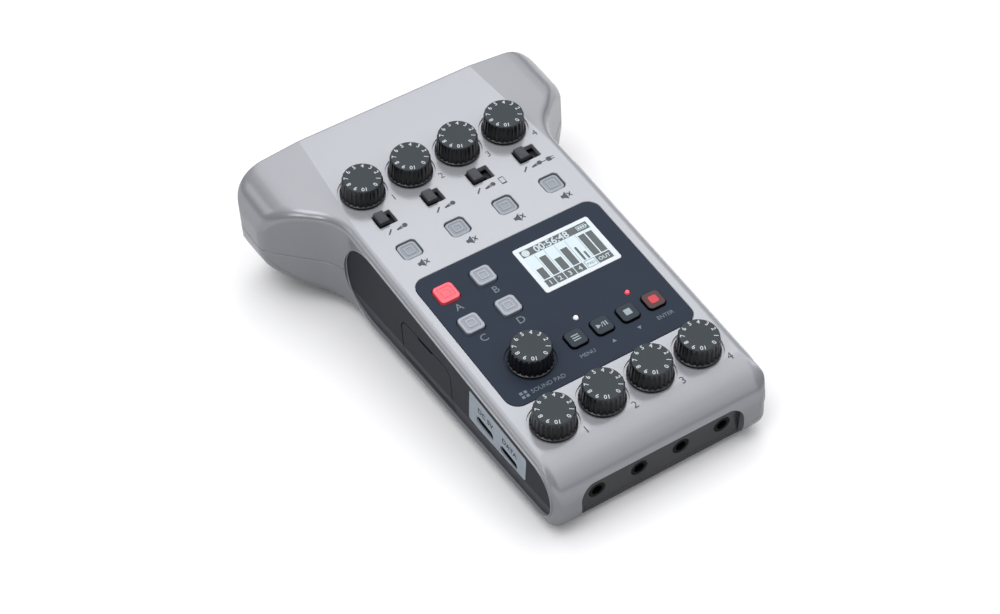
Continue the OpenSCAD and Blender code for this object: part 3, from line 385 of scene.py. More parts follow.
def measure(wire, axis, spot=None):
    """One of the Object coordinates in metres: 0 across, 1 to the rear, 2 up."""
    return wire.node("ShaderNodeSeparateXYZ", {0: spot or place(wire)}, out=axis)


def noise(wire, scale, detail=2.0, where=None):
    """Value of a cloud noise with this many waves to the metre."""
    spot = where or place(wire)
    return wire.node("ShaderNodeTexNoise", {"Vector": spot, "Scale": scale, "Detail": detail})


def grain(wire, height, strength, depth=0.02 * MM):
    """Surface normal of a fine relief, its depth in metres."""
    return wire.node("ShaderNodeBump", {"Strength": strength, "Distance": depth, "Height": height})


def face_place(wire):
    """Where a point lies on the sloping face, in metres: across, towards the rear, and above it."""
    spot = place(wire)
    x, y, z = (measure(wire, axis, spot) for axis in (0, 1, 2))
    c, s = math.cos(TILT), math.sin(TILT)
    rear, up = y - HALF_L * MM, z - REAR_H * MM
    return x, rear * c + up * s, up * c - rear * s


RECESS_D, RECESS_W, RECESS_TOP, RECESS_R, NOTCH_SHADE_SPAN = 2.1, 58.0, 8.1, 5.0, 0.06
JACK_DROP, JACK_PITCH, JACK_NOSE = 13.8, 14.9, 2.9
RECESS_V = -(2 * HALF_L / math.cos(TILT) + JACK_DROP * math.tan(TILT)) + RECESS_D


def silver_coat(wire):
    """Satin metallic paint: fine flake in the colour, soft cloud in the gloss, faint orange peel.
    The floor of the front notch gets painted shade: dark grey in place of the silver."""
    flake, cloud = noise(wire, 9000), noise(wire, 60, 3)
    mixed = flake * 0.7 + cloud * 0.3
    x, v, w = face_place(wire)
    # Painted shade: the floor of the front notch is coloured dark grey instead of silver.
    painted = abs(v - RECESS_V * MM) > NOTCH_SHADE_SPAN * MM
    painted = painted | (w > -RECESS_TOP * MM) | (abs(x) > RECESS_W / 2 * MM)
    notch_shade = mixed.blend(srgb(66, 67, 71), srgb(74, 75, 79))
    coat = mixed.blend(srgb(156, 158, 163), srgb(168, 170, 174))
    return {"Base Color": painted.blend(notch_shade, coat), "Metallic": 0.3, "Roughness": 0.2 + cloud * 0.06,
            "Specular IOR Level": 0.12, "Normal": grain(wire, noise(wire, 5200), 0.12)}


silver = finish("silver_paint", silver_coat)


def quarter(start, stop, steps):
    """Even angles between two bearings in degrees, as a column with one row to each round."""
    return np.linspace(math.radians(start), math.radians(stop), steps)[:, None]


seam = quarter(0, 90, 4)
low_edge = SEAM_DROP + SEAM_GAP
floor_inset = np.array([FRONT_WALL + 2.4, SIDE_WALL, WALL, WALL, WALL])
floor_edges = np.array([3.0, 1.5, 1.5, TIP_UNDER - WALL, 1.0])
rise = quarter(0, 90, 5)
floor_drop = floor_edges * (1 - np.cos(rise)) * NOT_TIP
floor_flat = HALF_B - floor_inset[1] - floor_edges[1]
tray_inside = under_rounds(floor_inset + floor_edges * (1 - np.sin(rise)), floor_drop, FOOT_H + FLOOR_T,
                           (TIP_UNDER - WALL, HALF_W - TIP_UNDER), floor_flat)
lip_inset = SEAM_ROUND * (1 - np.sin(seam)) + tuck_inset(low_edge + SEAM_ROUND) * FRONT_ONLY
lip = np.concatenate([wall_rounds(floor_inset, low_edge),
                      wall_rounds(lip_inset, low_edge + SEAM_ROUND * (1 - np.cos(seam)))])
reach = math.acos(1 - (FRONT_H - low_edge - SEAM_ROUND) / FRONT_TUCK)
under_start = np.array([reach] + [math.pi / 2] * 4)
under_turn = under_start * (1 - np.linspace(0, 1, 15)[1:, None])
under_inset = UNDER_EDGES * (1 - np.sin(under_turn))
under_drop = UNDER_EDGES * (1 - np.cos(under_turn)) * NOT_TIP
under = under_rounds(under_inset, under_drop, FOOT_H, (TIP_UNDER, HALF_W - TIP_UNDER),
                     HALF_B - UNDER_EDGES[1])

PANEL_T, PANEL_RIM, PANEL_Z, PANEL_NOSE, PANEL_BACK = 1.6, 2.2, 5.1, 2.5, 37.7
PANEL_ROUNDS = np.array([0.47, 0.42, 0.48, 0.52])
BED_SLACK, BED_BEVEL, BED_EDGE, OVER = 0.05, 0.3, 0.2, 5


def side_outline(gap, steps=14):
    """Outline (a to the rear, b up) of a side panel, smaller all round by gap: four round corners."""
    nose, tail = -HALF_L + PANEL_NOSE, HALF_L - PANEL_BACK
    front, rear = (face_height(y) - PANEL_RIM for y in (nose, tail))
    radii = PANEL_ROUNDS * (np.array([front, rear, rear, front]) - PANEL_Z) - gap
    points = [(nose + gap, PANEL_Z + gap), (tail - gap, PANEL_Z + gap),
              (tail - gap, rear - gap), (nose + gap, front - gap)]
    ways = np.radians([-90, 0, 90, 180 + math.degrees(TILT), 270])
    arcs = []
    for point, a, b, radius in zip(np.array(points), ways[:-1], ways[1:], radii):
        heading = np.linspace(a, b, steps)[:, None]
        start = point - radius * math.tan((b - a) / 2) * np.array([math.cos(a), math.sin(a)])
        middle = start + radius * np.array([-math.sin(a), math.cos(a)])
        arcs.append(middle + radius * np.hstack([np.sin(heading), -np.cos(heading)]))
    return np.concatenate(arcs)


def side_pocket():
    """Both side panels' beds, with a small bevel where they break the outside of the case."""
    mouth = side_outline(-BED_BEVEL)
    levels = [(side_outline(0), HALF_B - PANEL_T - BED_SLACK), (side_outline(0), HALF_B - BED_EDGE),
              (mouth, HALF_B + BED_BEVEL - BED_EDGE), (mouth, HALF_B + OVER)]
    points, faces = stack(levels)
    right = to_side(points)
    return merged((right, faces), (right * [-1, 1, 1], [f[::-1] for f in faces]))


CHANNELS = np.array([-1.5, -0.5, 0.5, 1.5])


def front_recess():
    """Long notch in the front wall that the headphone jacks sit in."""
    tall = 30
    ring = outline(RECESS_W, tall, RECESS_R, 10)
    points, faces = stack([(ring, 0.0), (ring, -RECESS_D - OVER)])
    return to_front(points, 0, RECESS_V, RECESS_TOP + tall / 2), faces


SOCKET_PITCH, SOCKET_Z, SOCKET_R, SOCKET_D, SOCKET_GAP, SOCKET_MOUTH = 25.5, 22.9, 11.2, 19.0, 0.05, 0.35


def rear_holes():
    """Four round holes through the rear wall for the microphone sockets."""
    ring, wide = (circle(SOCKET_R + gap, 96) for gap in (SOCKET_GAP, SOCKET_MOUTH))
    points, faces = stack([(wide, 1.0), (wide, 0.1), (ring, -0.2), (ring, -SOCKET_D)])
    turned = np.stack([points[:, 0], HALF_L + points[:, 2], SOCKET_Z + points[:, 1]], 1)
    return merged(*[(turned + [c * SOCKET_PITCH, 0, 0], faces) for c in CHANNELS])


CELL_R, CELL_L, CELL_PLAY = 7.1, 50.2, (2.8, 2.2)
BAY_BACK, BAY_LEDGE, BAY_TRAVEL, BAY_TOP = 57.25, 1.4, 4.0, 30
BAY_DOOR, BAY_PLAY, BAY_SLACK = 1.3, 0.25, 0.15
BAY_Y, BAY_W, BAY_L = HALF_L - BAY_BACK, CELL_L + CELL_PLAY[0], 4 * CELL_R + CELL_PLAY[1]
BAY_FLOOR = FOOT_H + BAY_DOOR + BAY_PLAY
BED_W, BED_L = BAY_W + 2 * BAY_LEDGE, BAY_L + 2 * BAY_LEDGE


def box(low, high):
    """Plain block between two corners."""
    (x0, y0, z0), (x1, y1, z1) = low, high
    ring = np.array([(x0, y0), (x1, y0), (x1, y1), (x0, y1)])
    return stack([(ring, z1), (ring, z0)])


door_bed = box((-BED_W / 2 - BAY_SLACK, BAY_Y - BED_L / 2 - BAY_TRAVEL - BAY_SLACK, 0),
               (BED_W / 2 + BAY_SLACK, BAY_Y + BED_L / 2 + BAY_SLACK, BAY_FLOOR))
bay = box((-BAY_W / 2, BAY_Y - BAY_L / 2, BAY_FLOOR - 0.5), (BAY_W / 2, BAY_Y + BAY_L / 2, BAY_TOP))
FOOT_R, FOOT_SINK, FEET = 5.0, 0.5, [(-24, -60), (24, -60), (-29, 62), (29, 62)]
SCREW_SIDE, SCREW_BACKS, SCREW_HEAD = HALF_B - SIDE_WALL - 2.7, (126.5, 68.75), 2.3
foot_ring, screw_ring = circle(FOOT_R + 0.05, 48), circle(SCREW_HEAD, 32)
foot_seat, foot_faces = stack([(foot_ring, FOOT_H + FOOT_SINK), (foot_ring, -1)])
screw_seat, screw_faces = stack([(screw_ring, -SEAM_DROP - 3), (screw_ring, -3 * SEAM_DROP)])
seats = merged(*[(foot_seat + [x, y, 0], foot_faces) for x, y in FEET],
               *[(on_face(screw_seat, s * SCREW_SIDE, b), screw_faces) for s in (-1, 1) for b in SCREW_BACKS])

piece("lower_shell", loft(np.concatenate([tray_inside, lip, under])), silver,
      replaces=["bottom_shell"], angle=32,
      cuts=[side_pocket(), front_recess(), rear_holes(), door_bed, bay, seats])

# Works of the mixer: a green circuit board that carries the controls' bodies and switches, brass
# pillars with a screw from below in each, two cells between sprung leaves in the bay, a sliding
# door over them, and four rubber feet pressed into their seats.
def dress(material, *nodes):
    """Gives CAD nodes that keep their own shape this material in all their slots."""
    for node in nodes:
        for held in frame["nodes"][node].material_slots:
            held.material = material


def shades(colour, *shares):
    """A colour times each of these shares."""
    return [tuple((np.array(colour) * share).tolist()) for share in shares]


def speckle(wire):
    """Value of the fine texture that a spark-eroded mould leaves."""
    return noise(wire, 4200)


def moulded(colour, rough, spread=0.12, relief=0.1, gloss=0.5):
    """Moulded plastic: its tone drifts a little, and a fine spark-eroded texture breaks its gloss."""
    def paint(wire):
        cloud, speck = noise(wire, 70, 3), speckle(wire)
        tone = (cloud * 0.6 + speck * 0.4).blend(*shades(colour, 1 - spread, 1 + spread))
        return {"Base Color": tone, "Roughness": rough - 0.04 + speck * 0.08, "Specular IOR Level": gloss,
                "Normal": grain(wire, speck, relief)}
    return paint


def drawn_metal(colour, rough):
    """Bare metal: lines of drawing along the case in its tone and gloss."""
    def paint(wire):
        drawn = wire.node("ShaderNodeMapping", {0: place(wire), 3: (8.0, 0.5, 8.0)})
        lines = noise(wire, 700, where=drawn)
        return {"Base Color": lines.blend(*shades(colour, 0.86, 1.0)), "Metallic": 1.0,
                "Roughness": rough - 0.06 + lines * 0.12}
    return paint


def solder_mask(wire):
    """Green lacquer over copper: tracks show as paler borders of small fields."""
    field = wire.node("ShaderNodeTexVoronoi", {"Vector": place(wire), "Scale": 260.0},
                      {"feature": "DISTANCE_TO_EDGE"})
    track = field > 0.05
    return {"Base Color": track.blend(srgb(74, 140, 84), srgb(28, 88, 48)), "Roughness": 0.32 + track * 0.08,
            "Normal": grain(wire, track, 0.2, 0.03 * MM)}


BAND_X = 12.0


def cell_sleeve(wire):
    """Shrunk sleeve of a battery cell: dark, with a copper-coloured band at one end."""
    band = (measure(wire, 0) > BAND_X * MM) * (noise(wire, 500) * 0.12 + 0.88)
    return {"Base Color": band.blend(srgb(42, 43, 46), srgb(176, 118, 74)), "Metallic": 0.4,
            "Roughness": 0.3 + noise(wire, 300) * 0.1}


brass = finish("plated_brass", drawn_metal(srgb(222, 186, 110), 0.3))
steel = finish("drawn_steel", drawn_metal(srgb(196, 197, 200), 0.32))
dark_works = finish("component_plastic", moulded(srgb(70, 74, 80), 0.5))
dress(finish("board_lacquer", solder_mask), "main_board")
dress(dark_works, "pot_bodies", "slide_switch_bodies", "tact_switches")
dress(brass, "standoffs", "xlr_contacts")
KNOB_NAMES = [f"{row}_{i}" for row in ("gain", "phones") for i in (1, 2, 3, 4)]
dress(steel, "case_screws", "battery_contacts", "pad_shaft",
      *[name.replace("_", "_shaft_") for name in KNOB_NAMES])
dress(finish("socket_steel", drawn_metal(srgb(74, 76, 80), 0.4)), "side_sockets")
dress(finish("cell_sleeve", cell_sleeve), "batteries")
dress(finish("foot_rubber", moulded(srgb(38, 38, 40), 0.85, 0.2, 0.35)), "rubber_feet")
dress(silver, "battery_door")

# Sockets: three-pole microphone sockets with a black sleeve and insert in the rear wall, and
# miniature jacks in the front notch and the right side, all soldered to the board.
dress(finish("socket_plastic", moulded(srgb(22, 22, 25), 0.4, gloss=0.2)), "xlr_shells", "xlr_inserts")
dress(finish("jack_plastic", moulded(srgb(15, 15, 17), 0.5, gloss=0.05)), "mini_jacks")

# Upper shell: the other half of the case, moulded in one with the sloping face, the flared head and
# the long roll down the front, and painted with the lower one. Every control comes up through it.
TIP_ROLL = 12.0
TOP_EDGES = np.array([12.0, 2.6, 3.0, TIP_ROLL, 1.25])


def top_rounds(inset, edges, depth, turn):
    """Rounds of the top: each edge is a quarter round of its own radius, and the wings fall away."""
    first = inset + edges
    start = HALF_L - NECK_BACK + (first[2] + first[1] * -math.sin(NECK_HEADING)) / math.cos(NECK_HEADING)
    start -= (PLAN_CORNERS[1] + first[2]) * math.tan((math.pi / 2 - NECK_HEADING) / 2)
    rear = HALF_L - first[4]
    rounds = plan_rounds(inset + edges * (1 - np.sin(turn)), edges * (1 - np.cos(turn)) * NOT_TIP, CREASE_X)
    out, y = np.abs(rounds[..., 0]), rounds[..., 1]
    crease = HALF_B - first[1] + (CREASE_X - HALF_B + first[1]) * (y - start) / (rear - start)
    fall = WING_FALL * np.maximum(out - crease, 0) + end_roll(out, edges[3], HALF_W - inset[3] - edges[3])
    rounds[..., 2] = face_height(y) - depth - rounds[..., 2] - fall
    return rounds, (HALF_B - first[1], start, rear)


outside, crease_line = top_rounds(np.zeros(5), TOP_EDGES, 0.0, quarter(0, 90, 25))
inner_inset = np.array([FRONT_WALL, SIDE_WALL, WALL, WALL, WALL])
inner_edges = np.array([10.0, 0.8, 1.0, TIP_ROLL - WALL, 0.8])
ceiling, _ = top_rounds(inner_inset, inner_edges, WALL, quarter(90, 0, 5))
wall_depth = np.linspace(FRONT_H - FRONT_TUCK, SEAM_DROP - SEAM_ROUND, 8)
walls = wall_rounds(tuck_inset(wall_depth)[:, None] * FRONT_ONLY, wall_depth)
skirt = wall_rounds(SEAM_ROUND * (1 - np.cos(seam)) + tuck_inset(SEAM_DROP - SEAM_ROUND) * FRONT_ONLY,
                    SEAM_DROP - SEAM_ROUND * (1 - np.sin(seam)))[1:]
rim = wall_rounds(inner_inset, SEAM_DROP)


def on_crease(points):
    """Whether each point lies on the line where a wing's top leaves the flat face."""
    x1, y1, y0 = crease_line
    share = (points[:, 1] - y1) / (y0 - y1)
    line = x1 + (CREASE_X - x1) * share
    high = points[:, 2] > face_height(points[:, 1]) - 0.2
    near = np.abs(np.abs(points[:, 0]) - line) < 0.01
    return near & (share > -0.01) & (share < 1.01) & high


BEVEL, MOUTH, THROUGH = 0.15, 1.0, 4


def cutter(ring, mouth, depth, bevel):
    """Cutter down into the face: straight walls, and a mouth that widens at 45 degrees from the bevel."""
    top = [(mouth, MOUTH), (ring, -bevel)] if bevel else [(ring, MOUTH)]
    return stack(top + [(ring, -depth)])


def opening(width, length, radius, depth, bevel=BEVEL):
    """Cutter for an opening in the form of a rounded rectangle."""
    grow = bevel + MOUTH
    mouth = outline(width + 2 * grow, length + 2 * grow, radius + grow)
    return cutter(outline(width, length, radius), mouth, depth, bevel)


def bore(radius, depth, bevel=BEVEL):
    """Cutter for a round hole."""
    return cutter(circle(radius), circle(radius + bevel + MOUTH), depth, bevel)


def at_places(solid, places):
    """One solid set out at (x, back) places on the face."""
    points, faces = solid
    return merged(*[(on_face(points, x, back), faces) for x, back in places])


PANEL_W, PANEL_L, PANEL_REAR, PANEL_DEEP, PANEL_R = 66.4, 57.1, 70.1, 0.8, 4.5
GAIN_PITCH, GAIN_BACK, PHONES_PITCH, PHONES_BACK = 17.4, 30.4, 17.1, 137.0
SHAFT_HOLE, KNOB_RING, LAMP_HOLE = 3.3, 8.0, 0.95
LEVER_W, LEVER_L, LEVER_R, LEVER_GAP = 3.5, 4.9, 0.4, 0.3
LEVER_TRAVEL, SWITCH_BACK = (2.3, 2.3, 3.7, 3.7), 43.5
MUTE_S, MUTE_BACK, PAD_S, KEY_S, BUTTON_R, BUTTON_GAP = 6.5, 58.2, 6.8, 6.1, 1.4, 0.3
PAD_X, PAD_PITCH, PAD_ROWS = -26.1, 13.2, (PANEL_REAR + 9.2, PANEL_REAR + 9.2 + 14.0)
KEY_X, KEY_PITCH, KEY_ROW, LAMP_ROW = -2.8, 9.35, PANEL_REAR + 44.5, PANEL_REAR + 37.5
gain_places = [(c * GAIN_PITCH, GAIN_BACK) for c in CHANNELS]
phones_places = [(c * PHONES_PITCH, PHONES_BACK) for c in CHANNELS]
mute_places = [(c * GAIN_PITCH, MUTE_BACK) for c in CHANNELS]
pad_places = [(PAD_X + PAD_PITCH * i, row) for row in PAD_ROWS for i in (0, 1)]
key_places = [(KEY_X + KEY_PITCH * i, KEY_ROW) for i in range(4)]
lamp_places = [(KEY_X + KEY_PITCH * i, LAMP_ROW) for i in (0.5, 2.5)]
panel_place, pad_knob_place = (0, PANEL_REAR + PANEL_L / 2), (-18.5, PANEL_REAR + 43.9)
LCD_X, LCD_BACK, LCD_W, LCD_L, LCD_R = 13.6, PANEL_REAR + 15.2, 27.6, 19.7, 0.8
display_place = (LCD_X, LCD_BACK)


def button_holes(size, places, bevel=BEVEL):
    """Square openings for buttons of this size, with a gap all round."""
    wide = size + 2 * BUTTON_GAP
    return at_places(opening(wide, wide, BUTTON_R + BUTTON_GAP, THROUGH, bevel), places)


panel_bed = at_places(opening(PANEL_W + 0.2, PANEL_L + 0.2, PANEL_R, PANEL_DEEP), [panel_place])
under_panel = merged(
    button_holes(PAD_S, pad_places, 0), button_holes(KEY_S, key_places, 0),
    at_places(bore(LAMP_HOLE, THROUGH, 0), lamp_places),
    at_places(bore(SHAFT_HOLE, THROUGH, 0), [pad_knob_place]),
    at_places(opening(LCD_W - 1.6, LCD_L - 1.6, 0.5, THROUGH, 0), [display_place]))
lever_slots = [opening(LEVER_W + travel + 2 * LEVER_GAP, LEVER_L + 2 * LEVER_GAP, LEVER_R, THROUGH)
               for travel in LEVER_TRAVEL]
face_holes = merged(
    at_places(bore(SHAFT_HOLE, THROUGH), gain_places + phones_places), button_holes(MUTE_S, mute_places),
    *[at_places(hole, [(c * GAIN_PITCH, SWITCH_BACK)]) for c, hole in zip(CHANNELS, lever_slots)])
PORT_DROP, PORT_BACK, PORT_PITCH, PORT_W, PORT_H = 12.8, 126.5, 12.9, 8.94, 3.16
DOOR_BACK, DOOR_LONG, CARD_W, CARD_H = 71, 28.0, 25.2, 3.5
CARD_BACK = (DOOR_BACK + DOOR_LONG / 2) / math.cos(TILT) + PORT_DROP * math.tan(TILT)


def side_slot(walls, back, drop, width, height):
    """Round-ended slot through a side wall."""
    ring = outline(width, height, height / 2 - 0.01)
    points, faces = stack([(ring, x) for x in walls])
    return to_side(points, 0, back, drop), faces


POWER_BACK, POWER_TRAVEL, POWER_L, POWER_H, SIDE_JACK_BACK = 111.5, 4.0, 6, 4.2, 86.0
left_wall, right_wall = (-HALF_B + SIDE_WALL + 1, -HALF_B - 1), (HALF_B + 1, HALF_B - SIDE_WALL - 1)
port_backs = (PORT_BACK - PORT_PITCH / 2, PORT_BACK + PORT_PITCH / 2)
port_slots = merged(*[side_slot(left_wall, back, PORT_DROP, PORT_W + 0.1, PORT_H + 0.1)
                      for back in port_backs])
power_slot = side_slot(right_wall, POWER_BACK, PORT_DROP, POWER_L + POWER_TRAVEL + 0.6, POWER_H)
jack_ring = circle(JACK_NOSE + 0.05, 48)
jack_hole, jack_faces = stack([(jack_ring, FRONT_WALL + 1), (jack_ring, -1)])
side_jack, _ = stack([(jack_ring, x) for x in right_wall])
side_jack_hole = to_side(side_jack, 0, SIDE_JACK_BACK, JACK_DROP), jack_faces
front_jack_holes = [(to_front(jack_hole, c * JACK_PITCH, RECESS_V, JACK_DROP), [f[::-1] for f in jack_faces])
                    for c in CHANNELS]
side_holes = merged(port_slots, side_slot(left_wall, CARD_BACK, PORT_DROP, CARD_W, CARD_H), power_slot,
                    side_jack_hole, *front_jack_holes)
RING_DEEP = 0.6
knob_rings = at_places(bore(KNOB_RING, RING_DEEP, 0), gain_places + phones_places)

piece("upper_shell", loft(np.concatenate([outside, walls, skirt, rim, ceiling])), silver,
      replaces=["top_shell"], angle=32, creases=on_crease,
      cuts=[knob_rings, panel_bed, under_panel, face_holes, side_pocket(), front_recess(), side_holes,
            rear_holes()])

# Side panels, moulded in black plastic and clipped into lipped beds in both shells. Their lower third
# leans in under the case. The left one holds the card door on two pins and the ports' plate, the
# right one the power slider and a jack.
LEAN_Z, LEAN_SLOPE, LEAN_EASE, LEAN_TOP = 12.4, 0.16, 1, 1.3


def lean_cut(side):
    """What is planed off below a line: the outside moves in by slope * (line - z), eased by a parabola."""
    eased = np.linspace(LEAN_Z + LEAN_EASE, LEAN_Z - LEAN_EASE, 9)
    z = np.concatenate([[LEAN_Z + LEAN_TOP], eased, [0.0]])
    inset = np.where(z > LEAN_Z - LEAN_EASE, LEAN_SLOPE * (LEAN_Z + LEAN_EASE - z) ** 2 / (4 * LEAN_EASE),
                     LEAN_SLOPE * (LEAN_Z - z))
    inset[0] = -0.02
    outer = [(HALF_B + 2, LEAN_Z + LEAN_TOP), (HALF_B + 2, 0.0)]
    ring = np.vstack([np.stack([HALF_B - inset, z], 1)[::-1], outer])
    points, faces = stack([(ring, HALF_L + 1), (ring, -HALF_L - 1)])
    return points[:, [0, 2, 1]] * [side, 1, 1], [f[::-1] for f in faces] if side > 0 else faces


def rounded(corners, radius, steps=6):
    """Polygon with rounded corners: a parabola at each one, from radius before it to radius after it."""
    corners = np.array(corners, float)
    before, after = np.roll(corners, 1, 0) - corners, np.roll(corners, -1, 0) - corners
    start = corners + before / np.linalg.norm(before, axis=1)[:, None] * radius
    stop = corners + after / np.linalg.norm(after, axis=1)[:, None] * radius
    share = np.linspace(0, 1, steps + 1)[None, :, None]
    curve = ((1 - share) ** 2 * start[:, None] + 2 * share * (1 - share) * corners[:, None]
             + share ** 2 * stop[:, None])
    return curve.reshape(-1, 2)


DOOR_REAR, DOOR_Z, DOOR_TOP, DOOR_R, DOOR_GAP, DOOR_THICK = 6.5, 8.0, 24.2, 3.5, 0.3, 1.35
BEAD_R, PIN_R, PIN_L = DOOR_THICK / 2, 0.45, 1.2
DOOR_FRONT, DOOR_AXIS = DOOR_REAR - DOOR_LONG, HALF_B - BEAD_R
PLATE_T, PLATE_LONG, PLATE_RISE, PLATE_FALL, PLATE_Z = 0.5, PORT_PITCH + PORT_W + 8.6, 8.6, 4.2, 12.7


def door_ring(gap, low):
    """Outline of the card door, larger all round by gap, down to the height low."""
    y0, y1, top = DOOR_FRONT - gap, DOOR_REAR + gap, DOOR_TOP + gap
    turn = quarter(0, 90, 10)
    radius = DOOR_R + gap
    rear = np.hstack([y1 - radius + radius * np.cos(turn), top - radius + radius * np.sin(turn)])
    front = np.hstack([y0 + radius - radius * np.sin(turn), top - radius + radius * np.cos(turn)])
    return np.vstack([[(y0, low), (y1, low)], rear, front])


def plate_ring(gap):
    """Outline of the ports' plate: sides and top along the face, the base cut level at the front."""
    c, s = math.cos(TILT), math.sin(TILT)
    rear, front = -(PORT_BACK - PLATE_LONG / 2 - gap), -(PORT_BACK + PLATE_LONG / 2 + gap)
    top, low, level = PLATE_RISE - PORT_DROP + gap, -PORT_DROP - PLATE_FALL - gap, PLATE_Z - gap
    turn = (level - REAR_H - c * low) / s
    nose = (level - REAR_H - s * front) / c
    v, w = np.array([(rear, low), (rear, top), (front, top), (front, nose), (turn, low)]).T
    return rounded(np.stack([HALF_L + c * v - s * w, REAR_H + s * v + c * w], 1), 0.8 + gap)


def side_slab(ring, x0, x1, bevel=0.0):
    """Slab of an outline (a to the rear, b up) between two depths on the left side; x1 is outside."""
    centre = (ring.min(0) + ring.max(0)) / 2
    small = centre + (ring - centre) * (1 - 2 * bevel / (ring.max(0) - ring.min(0)))
    levels = [(small, -x1), (ring, -x1 + bevel), (ring, -x0)] if bevel else [(ring, -x1), (ring, -x0)]
    points, faces = stack(levels)
    return to_side(points), faces


LIP_R, LIP_OUT, LIP_SINK, LIP_STEPS = 0.3, 0.22, 0.1, 12


def bed_bead(side):
    """Rounded lip of the shells round a panel's bed: a small circle carried along the bed's outline."""
    turn = np.arange(LIP_STEPS) * math.pi / (LIP_STEPS / 2)
    rounds = np.stack([np.insert(side_outline(LIP_R * math.cos(a) - LIP_OUT), 0,
                                 HALF_B - LIP_SINK + LIP_R * math.sin(a), 1) for a in turn])
    rows, columns = rounds.shape[:2]
    near = np.arange(rows * columns).reshape(rows, columns)
    far = np.roll(near, -1, 0)
    quads = np.stack([near, far, np.roll(far, -1, 1), np.roll(near, -1, 1)], -1).reshape(-1, 4)
    return rounds.reshape(-1, 3) * [side, 1, 1], quads.tolist()


# The outer edge by gap to the bed and drop from the outside.
PANEL_EDGE = [(0.45, 0.0), (0.25, 0.06), (0.1, 0.25), (0.1, PANEL_T)]


def side_blank(side):
    """Side panel before its openings: its outline with a small round at the outer edge."""
    points, faces = stack([(side_outline(gap), HALF_B - drop) for gap, drop in PANEL_EDGE])
    return to_side(points) * [side, 1, 1], faces


def side_paint(wire):
    """Black plastic with a fine texture, and a painted reflection: paler where the lower third leans in."""
    # Painted reflection: below the lean line the black is painted paler.
    band = (((LEAN_Z + 0.6) * MM - measure(wire, 2)) * 900).clamped()
    cloud, speck = noise(wire, 70, 3), speckle(wire)
    tone = (band * 0.8 + cloud * 0.12 + speck * 0.08).blend(srgb(29, 32, 43), srgb(72, 75, 82))
    return {"Base Color": tone, "Roughness": 0.36 + speck * 0.08, "Specular IOR Level": 0.06,
            "Normal": grain(wire, speck, 0.12)}


black = finish("side_panel_black", side_paint)
door_bay = side_slab(door_ring(DOOR_GAP, DOOR_Z - BEAD_R - DOOR_GAP), HALF_B - 3, HALF_B + 1)
plate_bed = side_slab(plate_ring(0.1), HALF_B - PLATE_T, HALF_B + 1)
piece("left_panel", side_blank(-1), black, replaces=["left_side_panel"], angle=20,
      cuts=[lean_cut(-1), door_bay, plate_bed, port_slots])
piece("right_panel", side_blank(1), black, replaces=["right_side_panel"], angle=20,
      cuts=[lean_cut(1), power_slot, side_jack_hole])
dress(finish("slider_black", moulded(srgb(34, 34, 38), 0.45)), "power_slider")
for side, name in ((-1, "left_bed_lip"), (1, "right_bed_lip")):
    piece(name, bed_bead(side), silver, angle=60)


def door_rod(radius, steps, over):
    """Round rod along the card door's axis, longer than the door by over at both ends."""
    ring = circle(radius, steps) + [DOOR_AXIS, DOOR_Z]
    points, faces = stack([(ring, DOOR_REAR + over), (ring, DOOR_FRONT - over)])
    return points[:, [0, 2, 1]] * [-1, 1, 1], faces


pull_ring = outline(8.4, 1.9, 0.7) + [(DOOR_REAR + DOOR_FRONT) / 2, DOOR_TOP]
piece("card_lid", side_slab(door_ring(0, DOOR_Z), HALF_B - DOOR_THICK, HALF_B, 0.12), black, "card_door",
      ["card_door"], [lean_cut(-1), side_slab(pull_ring, HALF_B - 0.8, HALF_B + 1)], 20)
piece("card_hinge", merged(door_rod(BEAD_R, 24, 0), door_rod(PIN_R, 20, PIN_L)), black, "card_door",
      cuts=[lean_cut(-1)])


def plate_paint(wire):
    """Pale blue-silver lacquer on the ports' plate, a little clouded."""
    cloud = noise(wire, 260, 3)
    return {"Base Color": cloud.blend(srgb(150, 163, 176), srgb(192, 203, 213)), "Metallic": 0.25,
            "Roughness": 0.36 + cloud * 0.1, "Normal": grain(wire, speckle(wire), 0.1)}


piece("port_surround", side_slab(plate_ring(0), HALF_B - PLATE_T, HALF_B, 0.06),
      finish("port_lacquer", plate_paint), replaces=["usb_plate"], cuts=[port_slots])

# Control panel: a slate-blue plastic plate set flush into the face. The display's clear window is
# set into the plate over a backlit module, and two small lamps show through it.
slate = finish("slate_plastic", moulded(srgb(46, 54, 67), 0.5, 0.07, 0.16, 0.1))
# The edge of the plate by how much narrower it is, how much tighter its corners are, and height.
plate_edge = [(0.3, 0.15, 0.0), (0.08, 0.0, -0.1), (0.0, 0.0, -0.25), (0.0, 0.0, -PANEL_DEEP)]
panel_plate = stack([(outline(PANEL_W - d, PANEL_L - d, PANEL_R - r), h) for d, r, h in plate_edge])
panel_holes = merged(
    button_holes(PAD_S, pad_places, 0.1), button_holes(KEY_S, key_places, 0.1),
    at_places(bore(LAMP_HOLE, THROUGH, 0.1), lamp_places),
    at_places(opening(LCD_W + 0.1, LCD_L + 0.1, LCD_R, THROUGH, 0.06), [display_place]))
pad_ring, pad_hole = (at_places(bore(r, deep, 0), [pad_knob_place])
                      for r, deep in ((KNOB_RING, 0.5), (SHAFT_HOLE, THROUGH)))
piece("panel_plate", at_places(panel_plate, [panel_place]), slate,
      replaces=["control_panel"], angle=25, cuts=[panel_holes, pad_ring, pad_hole])
LCD_BORDER = 1.3


